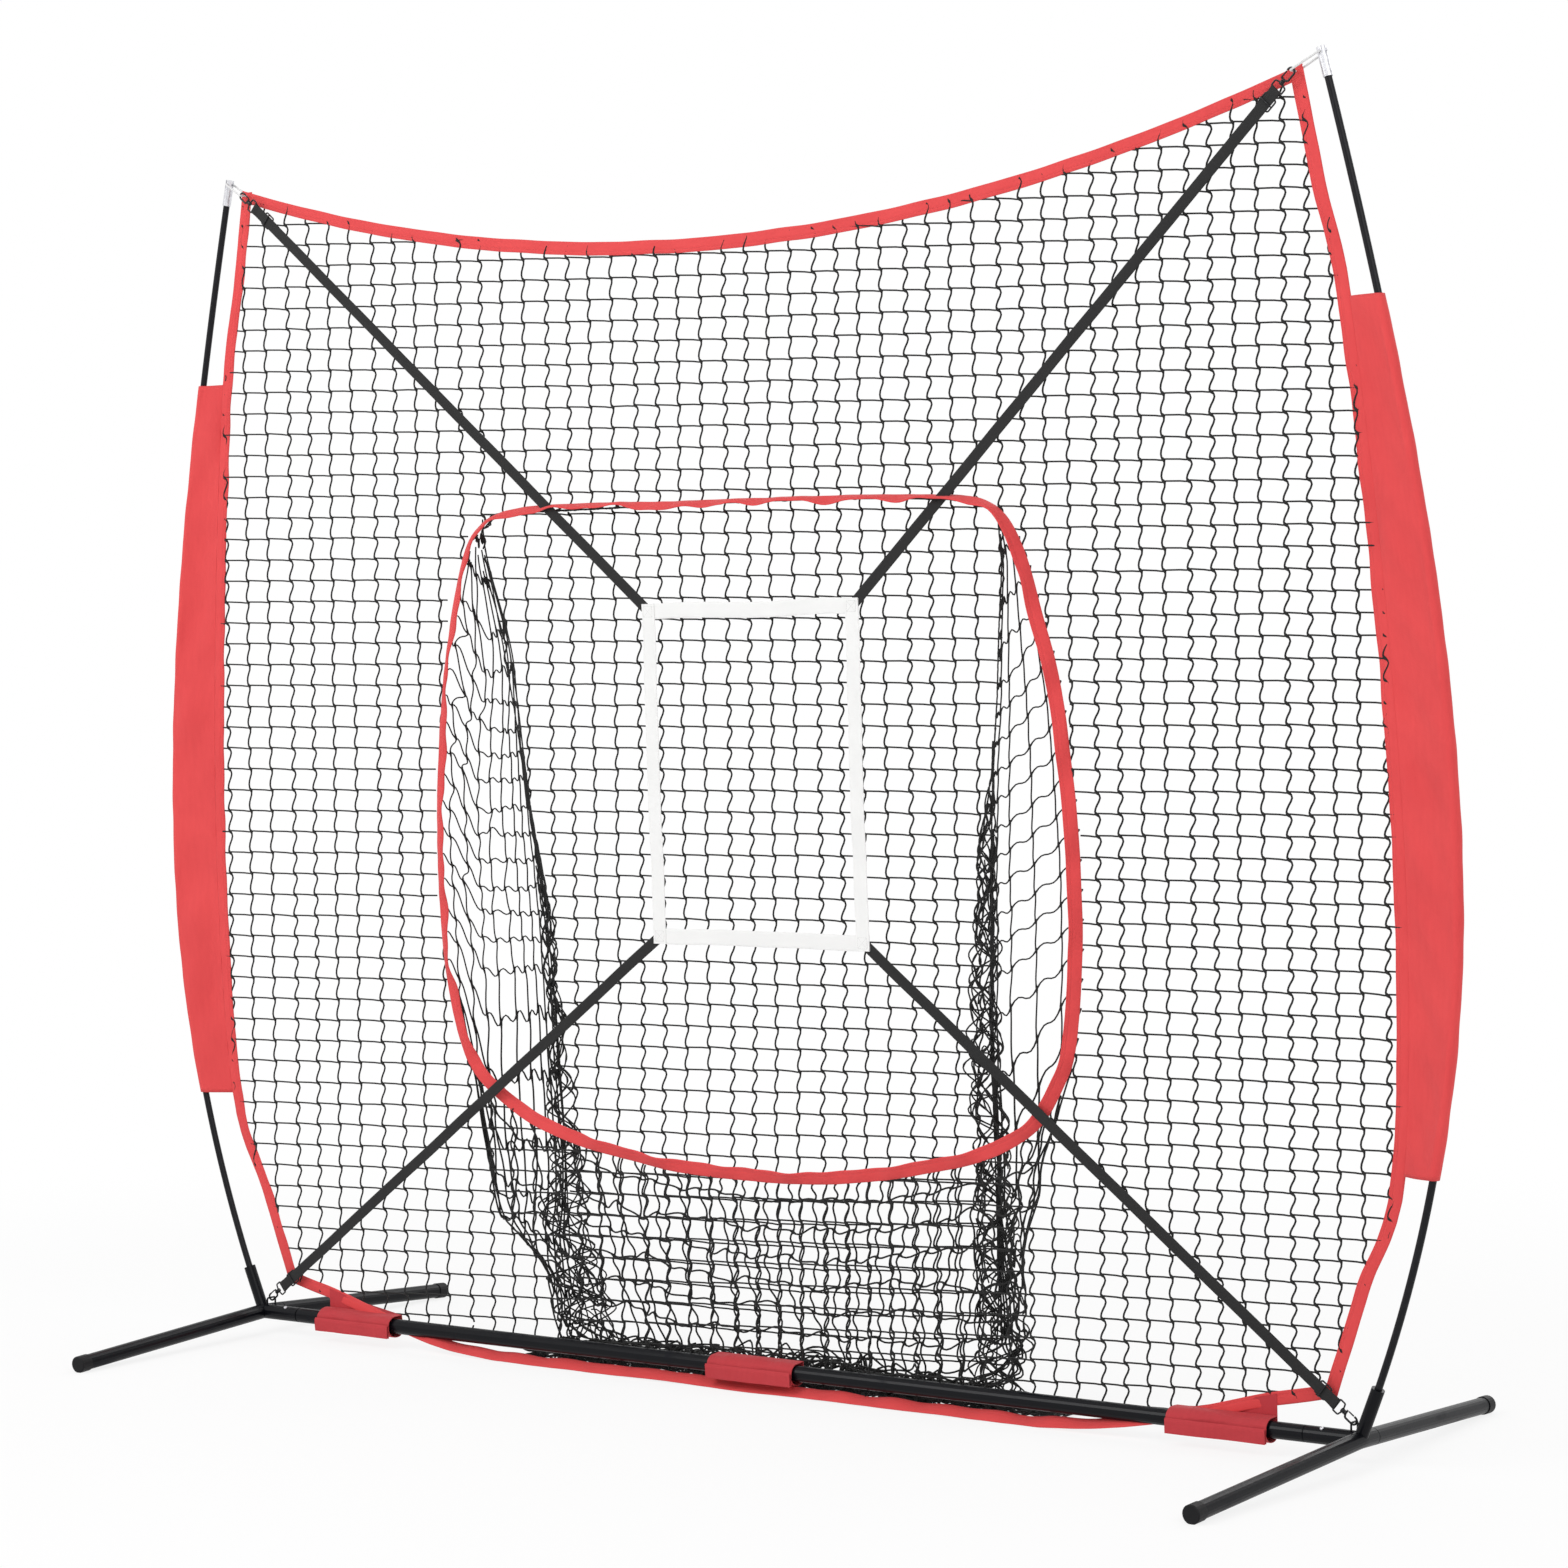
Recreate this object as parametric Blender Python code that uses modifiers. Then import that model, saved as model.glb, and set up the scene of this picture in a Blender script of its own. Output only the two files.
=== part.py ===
"""Pitching target net: a bow-framed practice net with a pocket and a strike-zone target.

Run with: blender --background --python part.py
Metres, +Z up, -Y the side that the ball comes from. The origin is on the floor, midway between the hubs.
"""

import math

import bmesh
import bpy
from mathutils import Matrix, Vector

# ---- Driving dimensions ------------------------------------------------------------------------

SEAT = 0.0003            # gap between pieces that touch

# Steel base
HUB_SPAN = 2.130         # hub centre to hub centre, a nominal 7 ft
TUBE_D = 0.0254          # legs and base bar
TUBE_WALL = 0.0012
SWAGE_PLAY = 0.0004      # round a reduced end in the tube that takes it
LEG_REACH = 0.4627       # hub centre to leg end, along Y
LEG_TOE_IN = 0.0167      # how much nearer the middle a leg's end is than its hub
LEG_RISE = 0.0243        # a hub's centre above a leg's end
LEG_BEND_R = 0.120
REAR_JOINT = 0.040       # hub centre to the seam of the rear leg
REAR_SWAGE = 0.030
STUB_LEN = 0.085         # hub centre to the mouth that takes the base bar
BAR_SWAGE = 0.055
CENTRE_SWAGE = 0.070
SOCKET_D = 0.0200
SOCKET_LEN = 0.082       # from the hub's centre along the pole
SOCKET_DEPTH = 0.055

# End caps
CAP_D = 0.0278
CAP_PLAY = 0.0004
CAP_LEN = 0.022
CAP_END = 0.0030
CAP_SOLE = 0.0010        # how deep the flat sole is cut
CAP_EDGE = 0.0015

# Spring buttons
BUTTON_INSET = 0.0575    # from the hub's centre
BUTTON_ANGLE = 60.0      # degrees up from the front
BUTTON_D = 0.0060
BUTTON_PROUD = 0.0030
BUTTON_FLANGE_D = 0.0082
BUTTON_FLANGE = 0.0012
BUTTON_DOME = 0.80       # a dome's height over its radius
BUTTON_PLAY = 0.0004
SPRING_T = 0.0006
SPRING_WIDTH = 0.0050
SPRING_REACH = 0.024
SPRING_FLAT = 0.0020     # the straight piece at the fold

# Bow poles, described in a plane that leans with them
POLE_D = 0.0110
POLE_TOP_IN = 0.0146     # the tip's top, nearer the middle than the hub
POLE_TOP_Z = 2.0086
POLE_TOP_Y = -0.0628
POLE_LEAN_OUT = 23.0     # degrees, at the socket
POLE_LEAN_IN = 13.7      # degrees, at the tip
BOW_OUT = 0.167          # how far outside the hub a pole stands at most
BOW_Z = 0.830
POLE_STRAIGHT = 0.055    # of its foot, as far as the socket's mouth
POLE_SPLIT_Z = 1.020
FERRULE_D = 0.0136
FERRULE_LEN = 0.120
POLE_PLAY = 0.0004
TIP_D = 0.0145
TIP_LEN = 0.044
TIP_CUP = 0.026          # how much of a pole the tip takes
TIP_SLOT = 0.0044
TIP_SLOT_DEPTH = 0.009
TIP_WALL = 0.00255       # round the well at the top
TIP_BEFORE = 0.004       # where a pole starts to run straight, before its tip
TIP_EASE = 0.030

# The net hangs in one plane from the pole tips to just behind the base bar
NET_FOOT_Y = 0.022       # where that plane meets the floor
NET_LEAN = 0.0425        # forward per metre of height
TAPE = 0.022             # width of the binding
TAPE_T = 0.0030
STRAND = 0.0034
CELL_W = 0.133
CELL_H = 0.121
CORNER_DROP = 0.0186     # the net's corners, lower than the tips
TOP_SAG = 0.1580
SIDE_EDGE = ((0.0432, -0.0750), (0.1256, 0.0050), (0.2126, 0.0730), (0.4121, 0.0870), (0.6281, 0.0650),
             (0.8327, 0.0230), (0.9146, -0.0120), (1.0000, -0.0440))  # share of the corner height, outside the hub
HEM_RISE = 0.0830
HEM_POWER = 3.0
HEM_CLEAR = 0.0030
MOUTH = ((0.000, 1.413), (0.280, 1.412), (0.460, 1.402), (0.535, 1.340), (0.592, 1.100), (0.623, 0.810),
         (0.600, 0.560), (0.535, 0.436), (0.400, 0.386), (0.200, 0.362), (0.000, 0.355))    # right half, top to bottom
PANEL_SPLIT_X = 0.600    # where the side panels of the net meet the middle ones
PANEL_SPLIT_Z = 0.810

# Sleeves
SLEEVE_FOOT_Z = 0.418
SLEEVE_TOP_DROP = 0.330  # lower than the net's corner
SLEEVE_WALL = 0.0010
SLEEVE_EASE = 0.0011     # between a pole's ferrule and its sleeve
SLEEVE_EDGE_T = 0.0034
SLEEVE_HOLLOW = 0.0010   # how far the cloth falls in between the seam and the pole

# Pocket behind the mouth
POCKET_T = 0.0020
POCKET_STRAND = 0.0050
POCKET_TURN = 0.0040     # how far behind its seam the bag turns down
POCKET_BACK = ((0.0, 0.142), (0.40, 0.082), (0.80, 0.022), (1.42, -0.026))   # height, Y of the back panel
POCKET_SEAM = ((0.400, 0.0), (0.427, 0.20), (0.428, 0.60), (0.461, 1.00), (0.500, 1.30), (0.440, 1.42))
POCKET_TOP_DROP = 0.034  # the back panel's top edge, lower than the mouth's
POCKET_FLOOR = 0.0060
POCKET_COLUMNS = 10      # cells across the back panel, an even number
POCKET_CLOSER = 1.2      # power by which the panel's rows lie closer at its top
POCKET_STEPS = (0.34, 0.667, 1.00)       # shares of the way from the mouth to the back seam where cells end
POCKET_CORNER = (0.460, 0.560)   # between these half widths the bag turns from hanging down to going back
POCKET_LATE = 1.6        # power by which the hanging part goes back late
POCKET_LEAST = 0.030     # a cell with a shorter side stays closed

# Flaps round the base bar
FLAP_WIDTH = 0.165
FLAP_IN = 0.224          # the outer flaps' middles, nearer the middle than the hubs
FLAP_T = 0.0012
FLAP_ROOM = 0.0050       # round the bar
FLAP_RISE = 0.0040       # the hinge above the bar

# Strike zone and its straps
ZONE_W = 0.394           # between the middles of the bands
ZONE_H = 0.521
ZONE_X = 0.0345
ZONE_Z = 0.9850
ZONE_BAND = 0.025
ZONE_T = 0.0020
ZONE_OFF = 0.0150        # in front of the net
STRAP_W = 0.018
STRAP_T = 0.0012
EYELET = 0.0100          # in from each edge at the net's top corners
EYELET_D = 0.0064
LUG_IN = 0.0120          # crossbar of the hub's strap lug, nearer the middle than the hub
LUG_Z = 0.0610
LUG_WIRE = 0.0032
LUG_HALF = 0.0100

# Strap hardware
EYE_WIRE = 0.0026
EYE_W = 0.0236
EYE_L = 0.0100
BARREL_D = 0.0072
BARREL_LEN = 0.0064
PIN_D = 0.0030
PIN_LEN = 0.0045
PIN_PLAY = 0.0004
HOOK_WIRE = 0.0032
HOOK_HALF = 0.0057       # middle of the wire to the hook's axis
HOOK_REACH = 0.0170      # barrel to the centre of the nose
HOOK_NECK = 0.0016       # where the wire starts, over the barrel
HOOK_SHOULDER = 0.0042
HOOK_COLLAR = 0.0032
HOOK_LIP = 0.0020        # the wire's end, short of the nose's centre
HOOK_BEND_R = 0.0030
GATE_WIRE = 0.0022
GATE_HEEL = 0.0050
BITE = 0.0004            # between a hook and what it holds
GLIDE_WIRE = 0.0026
GLIDE_L = 0.0200
GLIDE_BEND_R = 0.0030
GLIDE_BAR_BEND_R = 0.0014
GLIDE_FROM_EYE = {"top_left": 0.037, "top_right": 0.022, "bottom_left": 0.028, "bottom_right": 0.028}

# Elastic corner loops
ELASTIC_D = 0.0032
ELASTIC_CLEAR = 0.0030   # in front of the hook, so that the hook can turn
ELASTIC_BEND_R = 0.0022

ROUND = 20               # sides of a tube
SMALL_ROUND = 10         # sides of a wire or a pin
PAST = 0.010             # how far a cutter reaches past what it cuts
NEAR = 0.010             # how near the end of an edge no station is needed

# ---- Sizes that follow ---------------------------------------------------------------------------

HUB_X = HUB_SPAN / 2
BOW_X = HUB_X + BOW_OUT
POLE_TOP_X = HUB_X - POLE_TOP_IN
CORNER_X = HUB_X + SIDE_EDGE[-1][1]
CORNER_Z = POLE_TOP_Z - CORNER_DROP
HEM_HALF = HUB_X + SIDE_EDGE[0][1]
SLEEVE_TOP_Z = CORNER_Z - SLEEVE_TOP_DROP
FLAP_X = HUB_X - FLAP_IN
LUG_X = HUB_X - LUG_IN
CAP_R = CAP_D / 2
HUB_Z = CAP_R - CAP_SOLE + LEG_RISE
TUBE_R = TUBE_D / 2
BORE_R = TUBE_R - TUBE_WALL
SWAGE_R = BORE_R - SWAGE_PLAY
SWAGE_BORE_R = SWAGE_R - TUBE_WALL
POLE_R = POLE_D / 2
HOLE_R = POLE_R + POLE_PLAY
NET_TILT = math.atan(NET_LEAN)
BOW_TILT = math.atan(-POLE_TOP_Y / (POLE_TOP_Z - HUB_Z))
STRAP_OFF = ZONE_OFF - ZONE_T / 2 - SEAT - STRAP_T / 2
SIDES = (("left", -1), ("right", 1))


# ---- Scene, materials and general shapes ---------------------------------------------------------

def clear_scene():
    for obj in list(bpy.data.objects):
        bpy.data.objects.remove(obj, do_unlink=True)


def collection(name):
    made = bpy.data.collections.new(name)
    bpy.context.scene.collection.children.link(made)
    return made


def material(name, colour, roughness, metallic=0.0):
    made = bpy.data.materials.new(name)
    made.use_nodes = True
    shader = made.node_tree.nodes["Principled BSDF"]
    shader.inputs["Base Color"].default_value = (*colour, 1.0)
    shader.inputs["Roughness"].default_value = roughness
    shader.inputs["Metallic"].default_value = metallic
    return made


clear_scene()
PARTS = collection("pitching_target_net")
CUTTERS = collection("cutters")

STEEL = material("black_coated_steel", (0.020, 0.020, 0.024), 0.28, 0.3)
ZINC = material("bright_zinc", (0.72, 0.73, 0.75), 0.25, 1.0)
FIBREGLASS = material("black_fibreglass", (0.012, 0.013, 0.018), 0.30)
PLASTIC = material("black_plastic", (0.015, 0.015, 0.016), 0.45)
RED_CLOTH = material("red_oxford_cloth", (0.75, 0.09, 0.09), 0.75)
NETTING = material("black_netting", (0.015, 0.015, 0.015), 0.80)
WHITE_WEBBING = material("white_webbing", (0.90, 0.90, 0.89), 0.70)
BLACK_WEBBING = material("black_webbing", (0.025, 0.025, 0.025), 0.75)
BLACK_WIRE = material("black_wire", (0.015, 0.015, 0.015), 0.30, 0.6)
ELASTIC = material("white_elastic", (0.92, 0.92, 0.92), 0.65)


def add(name, data, mat=None, parent=None, place=None):
    """An object in the parts' collection, or among the cutters when it has no material."""
    obj = bpy.data.objects.new(name, data)
    (PARTS if mat else CUTTERS).objects.link(obj)
    if mat:
        data.materials.append(mat)
    else:
        obj.hide_render = True
        obj.display_type = "WIRE"
    obj.parent = parent
    if place is not None:
        obj.matrix_local = place
    return obj


def empty(name, place, parent=None):
    obj = bpy.data.objects.new(name, None)
    PARTS.objects.link(obj)
    obj.empty_display_size = 0.03
    obj.parent = parent
    obj.matrix_local = place
    return obj


def from_bmesh(name, bm, mat, parent=None, place=None):
    bmesh.ops.recalc_face_normals(bm, faces=bm.faces)
    mesh = bpy.data.meshes.new(name)
    bm.to_mesh(mesh)
    bm.free()
    return add(name, mesh, mat, parent, place)


def smooth(obj):
    """Rounds the shading of a turned or bent piece and keeps its edges sharp."""
    obj.data.shade_smooth()
    obj.data.set_sharp_from_angle(angle=math.radians(40))
    return obj


def aim(start, along, across=Vector((0, 0, 1))):
    """A placement at start whose Z points along, with X as near across as it can be."""
    z = Vector(along).normalized()
    x = (across - z * across.dot(z)).normalized() if abs(across.normalized().dot(z)) < 0.99 else z.orthogonal()
    y = z.cross(x)
    turn = Matrix((x, y, z)).transposed().to_4x4()
    return Matrix.Translation(start) @ turn


def rod(name, start, end, radius, mat=None, sides=ROUND, parent=None):
    """A plain round bar from start to end."""
    start, end = Vector(start), Vector(end)
    bm = bmesh.new()
    length = (end - start).length
    bmesh.ops.create_cone(bm, cap_ends=True, segments=sides, radius1=radius, radius2=radius, depth=length,
                          matrix=Matrix.Translation((0, 0, length / 2)))
    return smooth(from_bmesh(name, bm, mat, parent, aim(start, end - start)))


def box(name, low, high, mat=None, parent=None, place=None):
    low, high = Vector(low), Vector(high)
    bm = bmesh.new()
    size = Matrix.Diagonal((*(high - low), 1.0))
    bmesh.ops.create_cube(bm, size=1.0, matrix=Matrix.Translation((low + high) / 2) @ size)
    return from_bmesh(name, bm, mat, parent, place)


def turned(name, profile, mat=None, sides=ROUND, parent=None, place=None, hollow=False):
    """A profile of (radius, height) points turned about Z. It runs down the outer side."""
    bm = bmesh.new()
    points = [bm.verts.new((radius, 0, height)) for radius, height in profile]
    for first, second in zip(points, points[1:] + points[:1] if hollow else points[1:]):
        bm.edges.new((first, second))
    mesh = bpy.data.meshes.new(name)
    bm.to_mesh(mesh)
    bm.free()
    obj = add(name, mesh, mat, parent, place)
    screw = obj.modifiers.new("turn", "SCREW")
    screw.steps = screw.render_steps = sides
    screw.use_merge_vertices = True
    screw.merge_threshold = 0.00001
    screw.use_smooth_shade = False
    return obj


def wire(name, points, radius, mat=None, sides=SMALL_ROUND, closed=False, parent=None, place=None):
    """A round wire or tube along a path, as a closed mesh."""
    curve = bpy.data.curves.new(name, "CURVE")
    curve.dimensions = "3D"
    curve.bevel_depth = radius
    curve.bevel_resolution = (sides - 4) // 2
    curve.use_fill_caps = not closed
    spline = curve.splines.new("POLY")
    spline.points.add(len(points) - 1)
    for spot, point in zip(spline.points, points):
        spot.co = (*point, 1.0)
    spline.use_cyclic_u = closed
    return as_mesh(curve, name, mat, parent, place)


def plate(name, outline, thickness, mat=None, holes=(), parent=None, place=None):
    """A flat outline with holes, lying in X and Y and thick along Z."""
    curve = bpy.data.curves.new(name, "CURVE")
    curve.dimensions = "2D"
    curve.fill_mode = "BOTH"
    curve.extrude = thickness / 2
    for path in (outline, *holes):
        spline = curve.splines.new("POLY")
        spline.points.add(len(path) - 1)
        for spot, (x, y) in zip(spline.points, path):
            spot.co = (x, y, 0.0, 1.0)
        spline.use_cyclic_u = True
    return as_mesh(curve, name, mat, parent, place)


def as_mesh(curve, name, mat, parent, place):
    """The mesh of a curve, its caps welded on."""
    guide = bpy.data.objects.new(name + "_curve", curve)
    CUTTERS.objects.link(guide)
    graph = bpy.context.evaluated_depsgraph_get()
    mesh = bpy.data.meshes.new_from_object(guide.evaluated_get(graph))
    bpy.data.objects.remove(guide)
    bpy.data.curves.remove(curve)
    bm = bmesh.new()
    bm.from_mesh(mesh)
    bmesh.ops.remove_doubles(bm, verts=bm.verts, dist=0.000001)
    mesh.clear_geometry()
    mesh.materials.clear()
    bmesh.ops.recalc_face_normals(bm, faces=bm.faces)
    bm.to_mesh(mesh)
    bm.free()
    mesh.name = name
    return smooth(add(name, mesh, mat, parent, place))


def band(name, path, width, thickness, mat, parent=None, place=None):
    """A strip of cloth or spring steel: a path in X and Y, wide along Z."""
    bm = bmesh.new()
    rows = [[bm.verts.new((x, y, z)) for x, y in path] for z in (-width / 2, width / 2)]
    for i in range(len(path) - 1):
        bm.faces.new((rows[0][i], rows[0][i + 1], rows[1][i + 1], rows[1][i]))
    obj = from_bmesh(name, bm, mat, parent, place)
    thicken(obj, thickness)
    return obj


def thicken(obj, thickness, offset=0.0):
    wall = obj.modifiers.new("wall", "SOLIDIFY")
    wall.thickness = thickness
    wall.offset = offset
    wall.use_even_offset = True
    return obj


def boolean(obj, other, operation):
    step = obj.modifiers.new(operation.lower(), "BOOLEAN")
    step.operation = operation
    step.object = other
    return obj


def join(obj, *others):
    for other in others:
        boolean(obj, other, "UNION")
    return obj


def cut(obj, *others):
    for other in others:
        boolean(obj, other, "DIFFERENCE")
    return obj


def rounded(points, radius, steps=3, closed=False):
    """A path with each corner turned into an arc."""
    points = [Vector(point) for point in points]
    last = len(points)
    path = []
    for i, corner in enumerate(points):
        if not closed and i in (0, last - 1):
            path.append(corner)
            continue
        back = (points[i - 1] - corner).normalized()
        on = (points[(i + 1) % last] - corner).normalized()
        half = back.angle(on) / 2
        middle = corner + (back + on).normalized() * radius / math.sin(half)
        first = corner + back * radius / math.tan(half) - middle
        final = corner + on * radius / math.tan(half) - middle
        axis = first.cross(final)
        for step in range(steps + 1):
            turn = Matrix.Rotation((math.pi - 2 * half) * step / steps, 3, axis)
            path.append(middle + turn @ first)
    return path


def through(points, steps, closed=False):
    """A smooth path through the points (Catmull-Rom)."""
    points = [Vector(point) for point in points]
    count = len(points)
    path = []
    for i in range(count if closed else count - 1):
        if closed:
            a, b, c, d = (points[(i + k) % count] for k in (-1, 0, 1, 2))
        else:
            b, c = points[i], points[i + 1]
            a = points[i - 1] if i else 2 * b - c
            d = points[i + 2] if i + 2 < count else 2 * c - b
        for step in range(steps):
            t = step / steps
            path.append(0.5 * (2 * b + (c - a) * t + (2 * a - 5 * b + 4 * c - d) * t ** 2
                               + (3 * b - a - 3 * c + d) * t ** 3))
    if not closed:
        path.append(points[-1])
    return path


def read_at(path, height):
    """The half width of a (half width, height) path at one height."""
    for low, high in zip(path, path[1:]):
        if low[1] <= height <= high[1]:
            return low[0] + (high[0] - low[0]) * (height - low[1]) / (high[1] - low[1])
    return path[0][0] if height < path[0][1] else path[-1][0]


def mixed(first, second, share):
    return first + (second - first) * share


# ---- Places that several pieces share ------------------------------------------------------------

NET_TO_WORLD = Matrix.Translation((0, NET_FOOT_Y, 0)) @ Matrix.Rotation(NET_TILT, 4, "X")
NET = empty("net_plane", NET_TO_WORLD)
FLAT_ON_NET = Matrix.Rotation(math.pi / 2, 4, "X")      # turns a plate's Y into the net's height


def net_y(height):
    """World Y of the net at one height."""
    return NET_FOOT_Y - NET_LEAN * height


def hub(side):
    return Vector((side * HUB_X, 0, HUB_Z))


def leg_end(side, way):
    """A leg's end. way is -1 at the front and 1 at the rear."""
    return Vector((side * (HUB_X - LEG_TOE_IN), way * LEG_REACH, HUB_Z - LEG_RISE))


def leg_way(side, way):
    return (leg_end(side, way) - hub(side)).normalized()


def pole_x(height):
    """Half width of the bow at one height: two cubics that meet where it stands furthest out."""
    def hermite(t, rise, x0, slope0, x1, slope1):
        return ((2 * t ** 3 - 3 * t ** 2 + 1) * x0 + (t ** 3 - 2 * t ** 2 + t) * rise * slope0
                + (3 * t ** 2 - 2 * t ** 3) * x1 + (t ** 3 - t ** 2) * rise * slope1)

    if height < BOW_Z:
        rise = BOW_Z - HUB_Z
        return hermite((height - HUB_Z) / rise, rise, HUB_X, math.tan(math.radians(POLE_LEAN_OUT)), BOW_X, 0)
    rise = POLE_TOP_Z - BOW_Z
    return hermite((height - BOW_Z) / rise, rise, BOW_X, 0, POLE_TOP_X, -math.tan(math.radians(POLE_LEAN_IN)))


def pole_at(side, height):
    """A point on a pole's axis."""
    lean = (height - HUB_Z) / (POLE_TOP_Z - HUB_Z)
    return Vector((side * pole_x(height), POLE_TOP_Y * lean, height))


def pole_way(side, height):
    step = 0.001
    return (pole_at(side, height + step) - pole_at(side, height - step)).normalized()


def pole_run(side, low, high, pitch=0.100):
    """Points along a pole between two heights."""
    count = max(2, round((high - low) / pitch))
    return [pole_at(side, mixed(low, high, i / count)) for i in range(count + 1)]


SIDE_PATH = [(spot.y, spot.x) for spot in through(
    [(share * CORNER_Z, HUB_X + out, 0) for share, out in SIDE_EDGE], 3)]


def side_edge(height):
    """Half width of the net with its side binding."""
    return read_at(SIDE_PATH, height)


def top_edge(x):
    return CORNER_Z - TOP_SAG * (1 - (x / CORNER_X) ** 2)


def under_top(x):
    return top_edge(x) - TAPE


def hem_edge(x):
    """Height of the hem's lower edge, which lies along the floor in the middle."""
    return HEM_CLEAR + HEM_RISE * abs(x / HEM_HALF) ** HEM_POWER


def over_hem(x):
    return hem_edge(x) + TAPE


def meet(edge, gap, inset):
    """Where a level edge, moved up by a gap, meets the side edge moved in by an inset."""
    height = edge(CORNER_X)
    for _ in range(30):
        height = edge(side_edge(height) - inset) + gap
    return side_edge(height) - inset, height


def spread(low, high, count):
    return [mixed(low, high, i / count) for i in range(count + 1)]


# Neighbours share these stations, so that their straight pieces stay the same distance apart.
LEVEL_STATIONS = spread(0, PANEL_SPLIT_X, 6) + spread(PANEL_SPLIT_X, HEM_HALF - TAPE, 4)[1:]
SLEEVE_STATIONS = spread(SLEEVE_FOOT_Z, SLEEVE_TOP_Z, 13)
SIDE_STATIONS = spread(HEM_RISE, SLEEVE_FOOT_Z, 5)[1:-1] + SLEEVE_STATIONS + spread(SLEEVE_TOP_Z, CORNER_Z, 4)[1:-1]
MOUTH_PATH = [(spot.x, spot.y) for spot in through(
    [(x, z, 0) for x, z in MOUTH] + [(-x, z, 0) for x, z in MOUTH[-2:0:-1]], 2, closed=True)]


def outset(path, distance):
    """A closed clockwise path moved outwards by a distance."""
    moved = []
    for i, (x, z) in enumerate(path):
        before, after = path[i - 1], path[(i + 1) % len(path)]
        arriving = Vector((before[1] - z, x - before[0])).normalized()
        leaving = Vector((z - after[1], after[0] - x)).normalized()
        out = (arriving + leaving).normalized()
        reach = distance / max(out.dot(leaving), 0.4)
        moved.append((x + out.x * reach, z + out.y * reach))
    return moved


MOUTH_RIM = outset(MOUTH_PATH, TAPE)


# ---- Steel base ----------------------------------------------------------------------------------

def foot_weldment(name, side):
    """Front leg, hub, base-bar stub, pole socket and strap lug, welded into one piece."""
    centre = hub(side)
    rear_mouth = centre + leg_way(side, 1) * REAR_JOINT
    path = rounded([leg_end(side, -1) - leg_way(side, -1) * CAP_END, centre, rear_mouth], LEG_BEND_R)
    foot = wire(name, path, TUBE_R, STEEL, ROUND)
    inward = Vector((-side, 0, 0))
    pole = pole_way(side, HUB_Z + SOCKET_LEN / 2)
    stub = rod(name + "_stub", centre, centre + inward * STUB_LEN, TUBE_R)
    socket_top = pole_at(side, HUB_Z) + pole * SOCKET_LEN
    socket = rod(name + "_socket", centre, socket_top, SOCKET_D / 2)
    lug = strap_lug(name + "_lug", side)
    join(foot, stub, socket, lug)
    first, second = path[0] - path[1], path[-1] - path[-2]
    bore_path = [path[0] + first.normalized() * PAST, *path[1:-1], path[-1] + second.normalized() * PAST]
    bore = wire(name + "_bore", bore_path, BORE_R, None, ROUND)
    mouth = centre + inward * (STUB_LEN + PAST)
    stub_bore = rod(name + "_stub_bore", mouth, centre + inward * (TUBE_R + TUBE_WALL), BORE_R)
    deep = socket_top - pole * SOCKET_DEPTH
    socket_bore = rod(name + "_socket_bore", deep, socket_top + pole * PAST, HOLE_R, None, SMALL_ROUND + 4)
    return cut(foot, bore, stub_bore, socket_bore, button_hole(name, side))


def button_hole(name, side):
    """A cutter for the hole that a button comes out of."""
    seat, way = button_seat(side), button_way()
    return rod(name + "_button_hole", seat + way * TUBE_R / 2, seat + way * 2 * TUBE_R, BUTTON_D / 2 + BUTTON_PLAY,
               None, SMALL_ROUND + 2)


def strap_lug(name, side):
    """A wire staple on the hub. The bottom straps' hooks hold its crossbar."""
    y = (NET_TO_WORLD @ Vector((0, -STRAP_OFF, LUG_Z))).y
    x = side * LUG_X
    low = HUB_Z - LUG_WIRE / 2
    path = rounded([(x, y - LUG_HALF, low), (x, y - LUG_HALF, LUG_Z), (x, y + LUG_HALF, LUG_Z),
                    (x, y + LUG_HALF, low)], LUG_WIRE)
    return wire(name, path, LUG_WIRE / 2, None, 8)


def tube_with_ends(name, length, start_swage, end_swage, place):
    """A tube along Z. Each end is drawn down over its swage's length, or plain where that is 0."""
    outer = []
    step = TUBE_R - SWAGE_R
    if end_swage:
        outer += [(SWAGE_R, length), (SWAGE_R, length - end_swage), (TUBE_R, length - end_swage - step)]
    else:
        outer += [(TUBE_R, length)]
    if start_swage:
        outer += [(TUBE_R, start_swage + step), (SWAGE_R, start_swage), (SWAGE_R, 0)]
    else:
        outer += [(TUBE_R, 0)]
    inner = [(radius - TUBE_WALL, height) for radius, height in reversed(outer)]
    return turned(name, outer + inner, STEEL, place=place, hollow=True)


def rear_leg(name, side):
    way = leg_way(side, 1)
    start = hub(side) + way * (REAR_JOINT + SEAT - REAR_SWAGE)
    end = leg_end(side, 1) - way * CAP_END
    return tube_with_ends(name, (end - start).length, REAR_SWAGE, 0, aim(start, way))


def base_bar(name, side):
    """Half of the base bar, with its outer end in the stub. The left half's inner end goes into the right half."""
    outer = side * (HUB_X - STUB_LEN - SEAT + BAR_SWAGE)
    centre_swage = CENTRE_SWAGE if side < 0 else 0
    start = Vector((side * SEAT / 2 + centre_swage, 0, HUB_Z))
    length = abs(outer - start.x)
    bar = tube_with_ends(name, length, centre_swage, BAR_SWAGE, aim(start, (side, 0, 0)))
    return cut(bar, button_hole(name, side))


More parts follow.
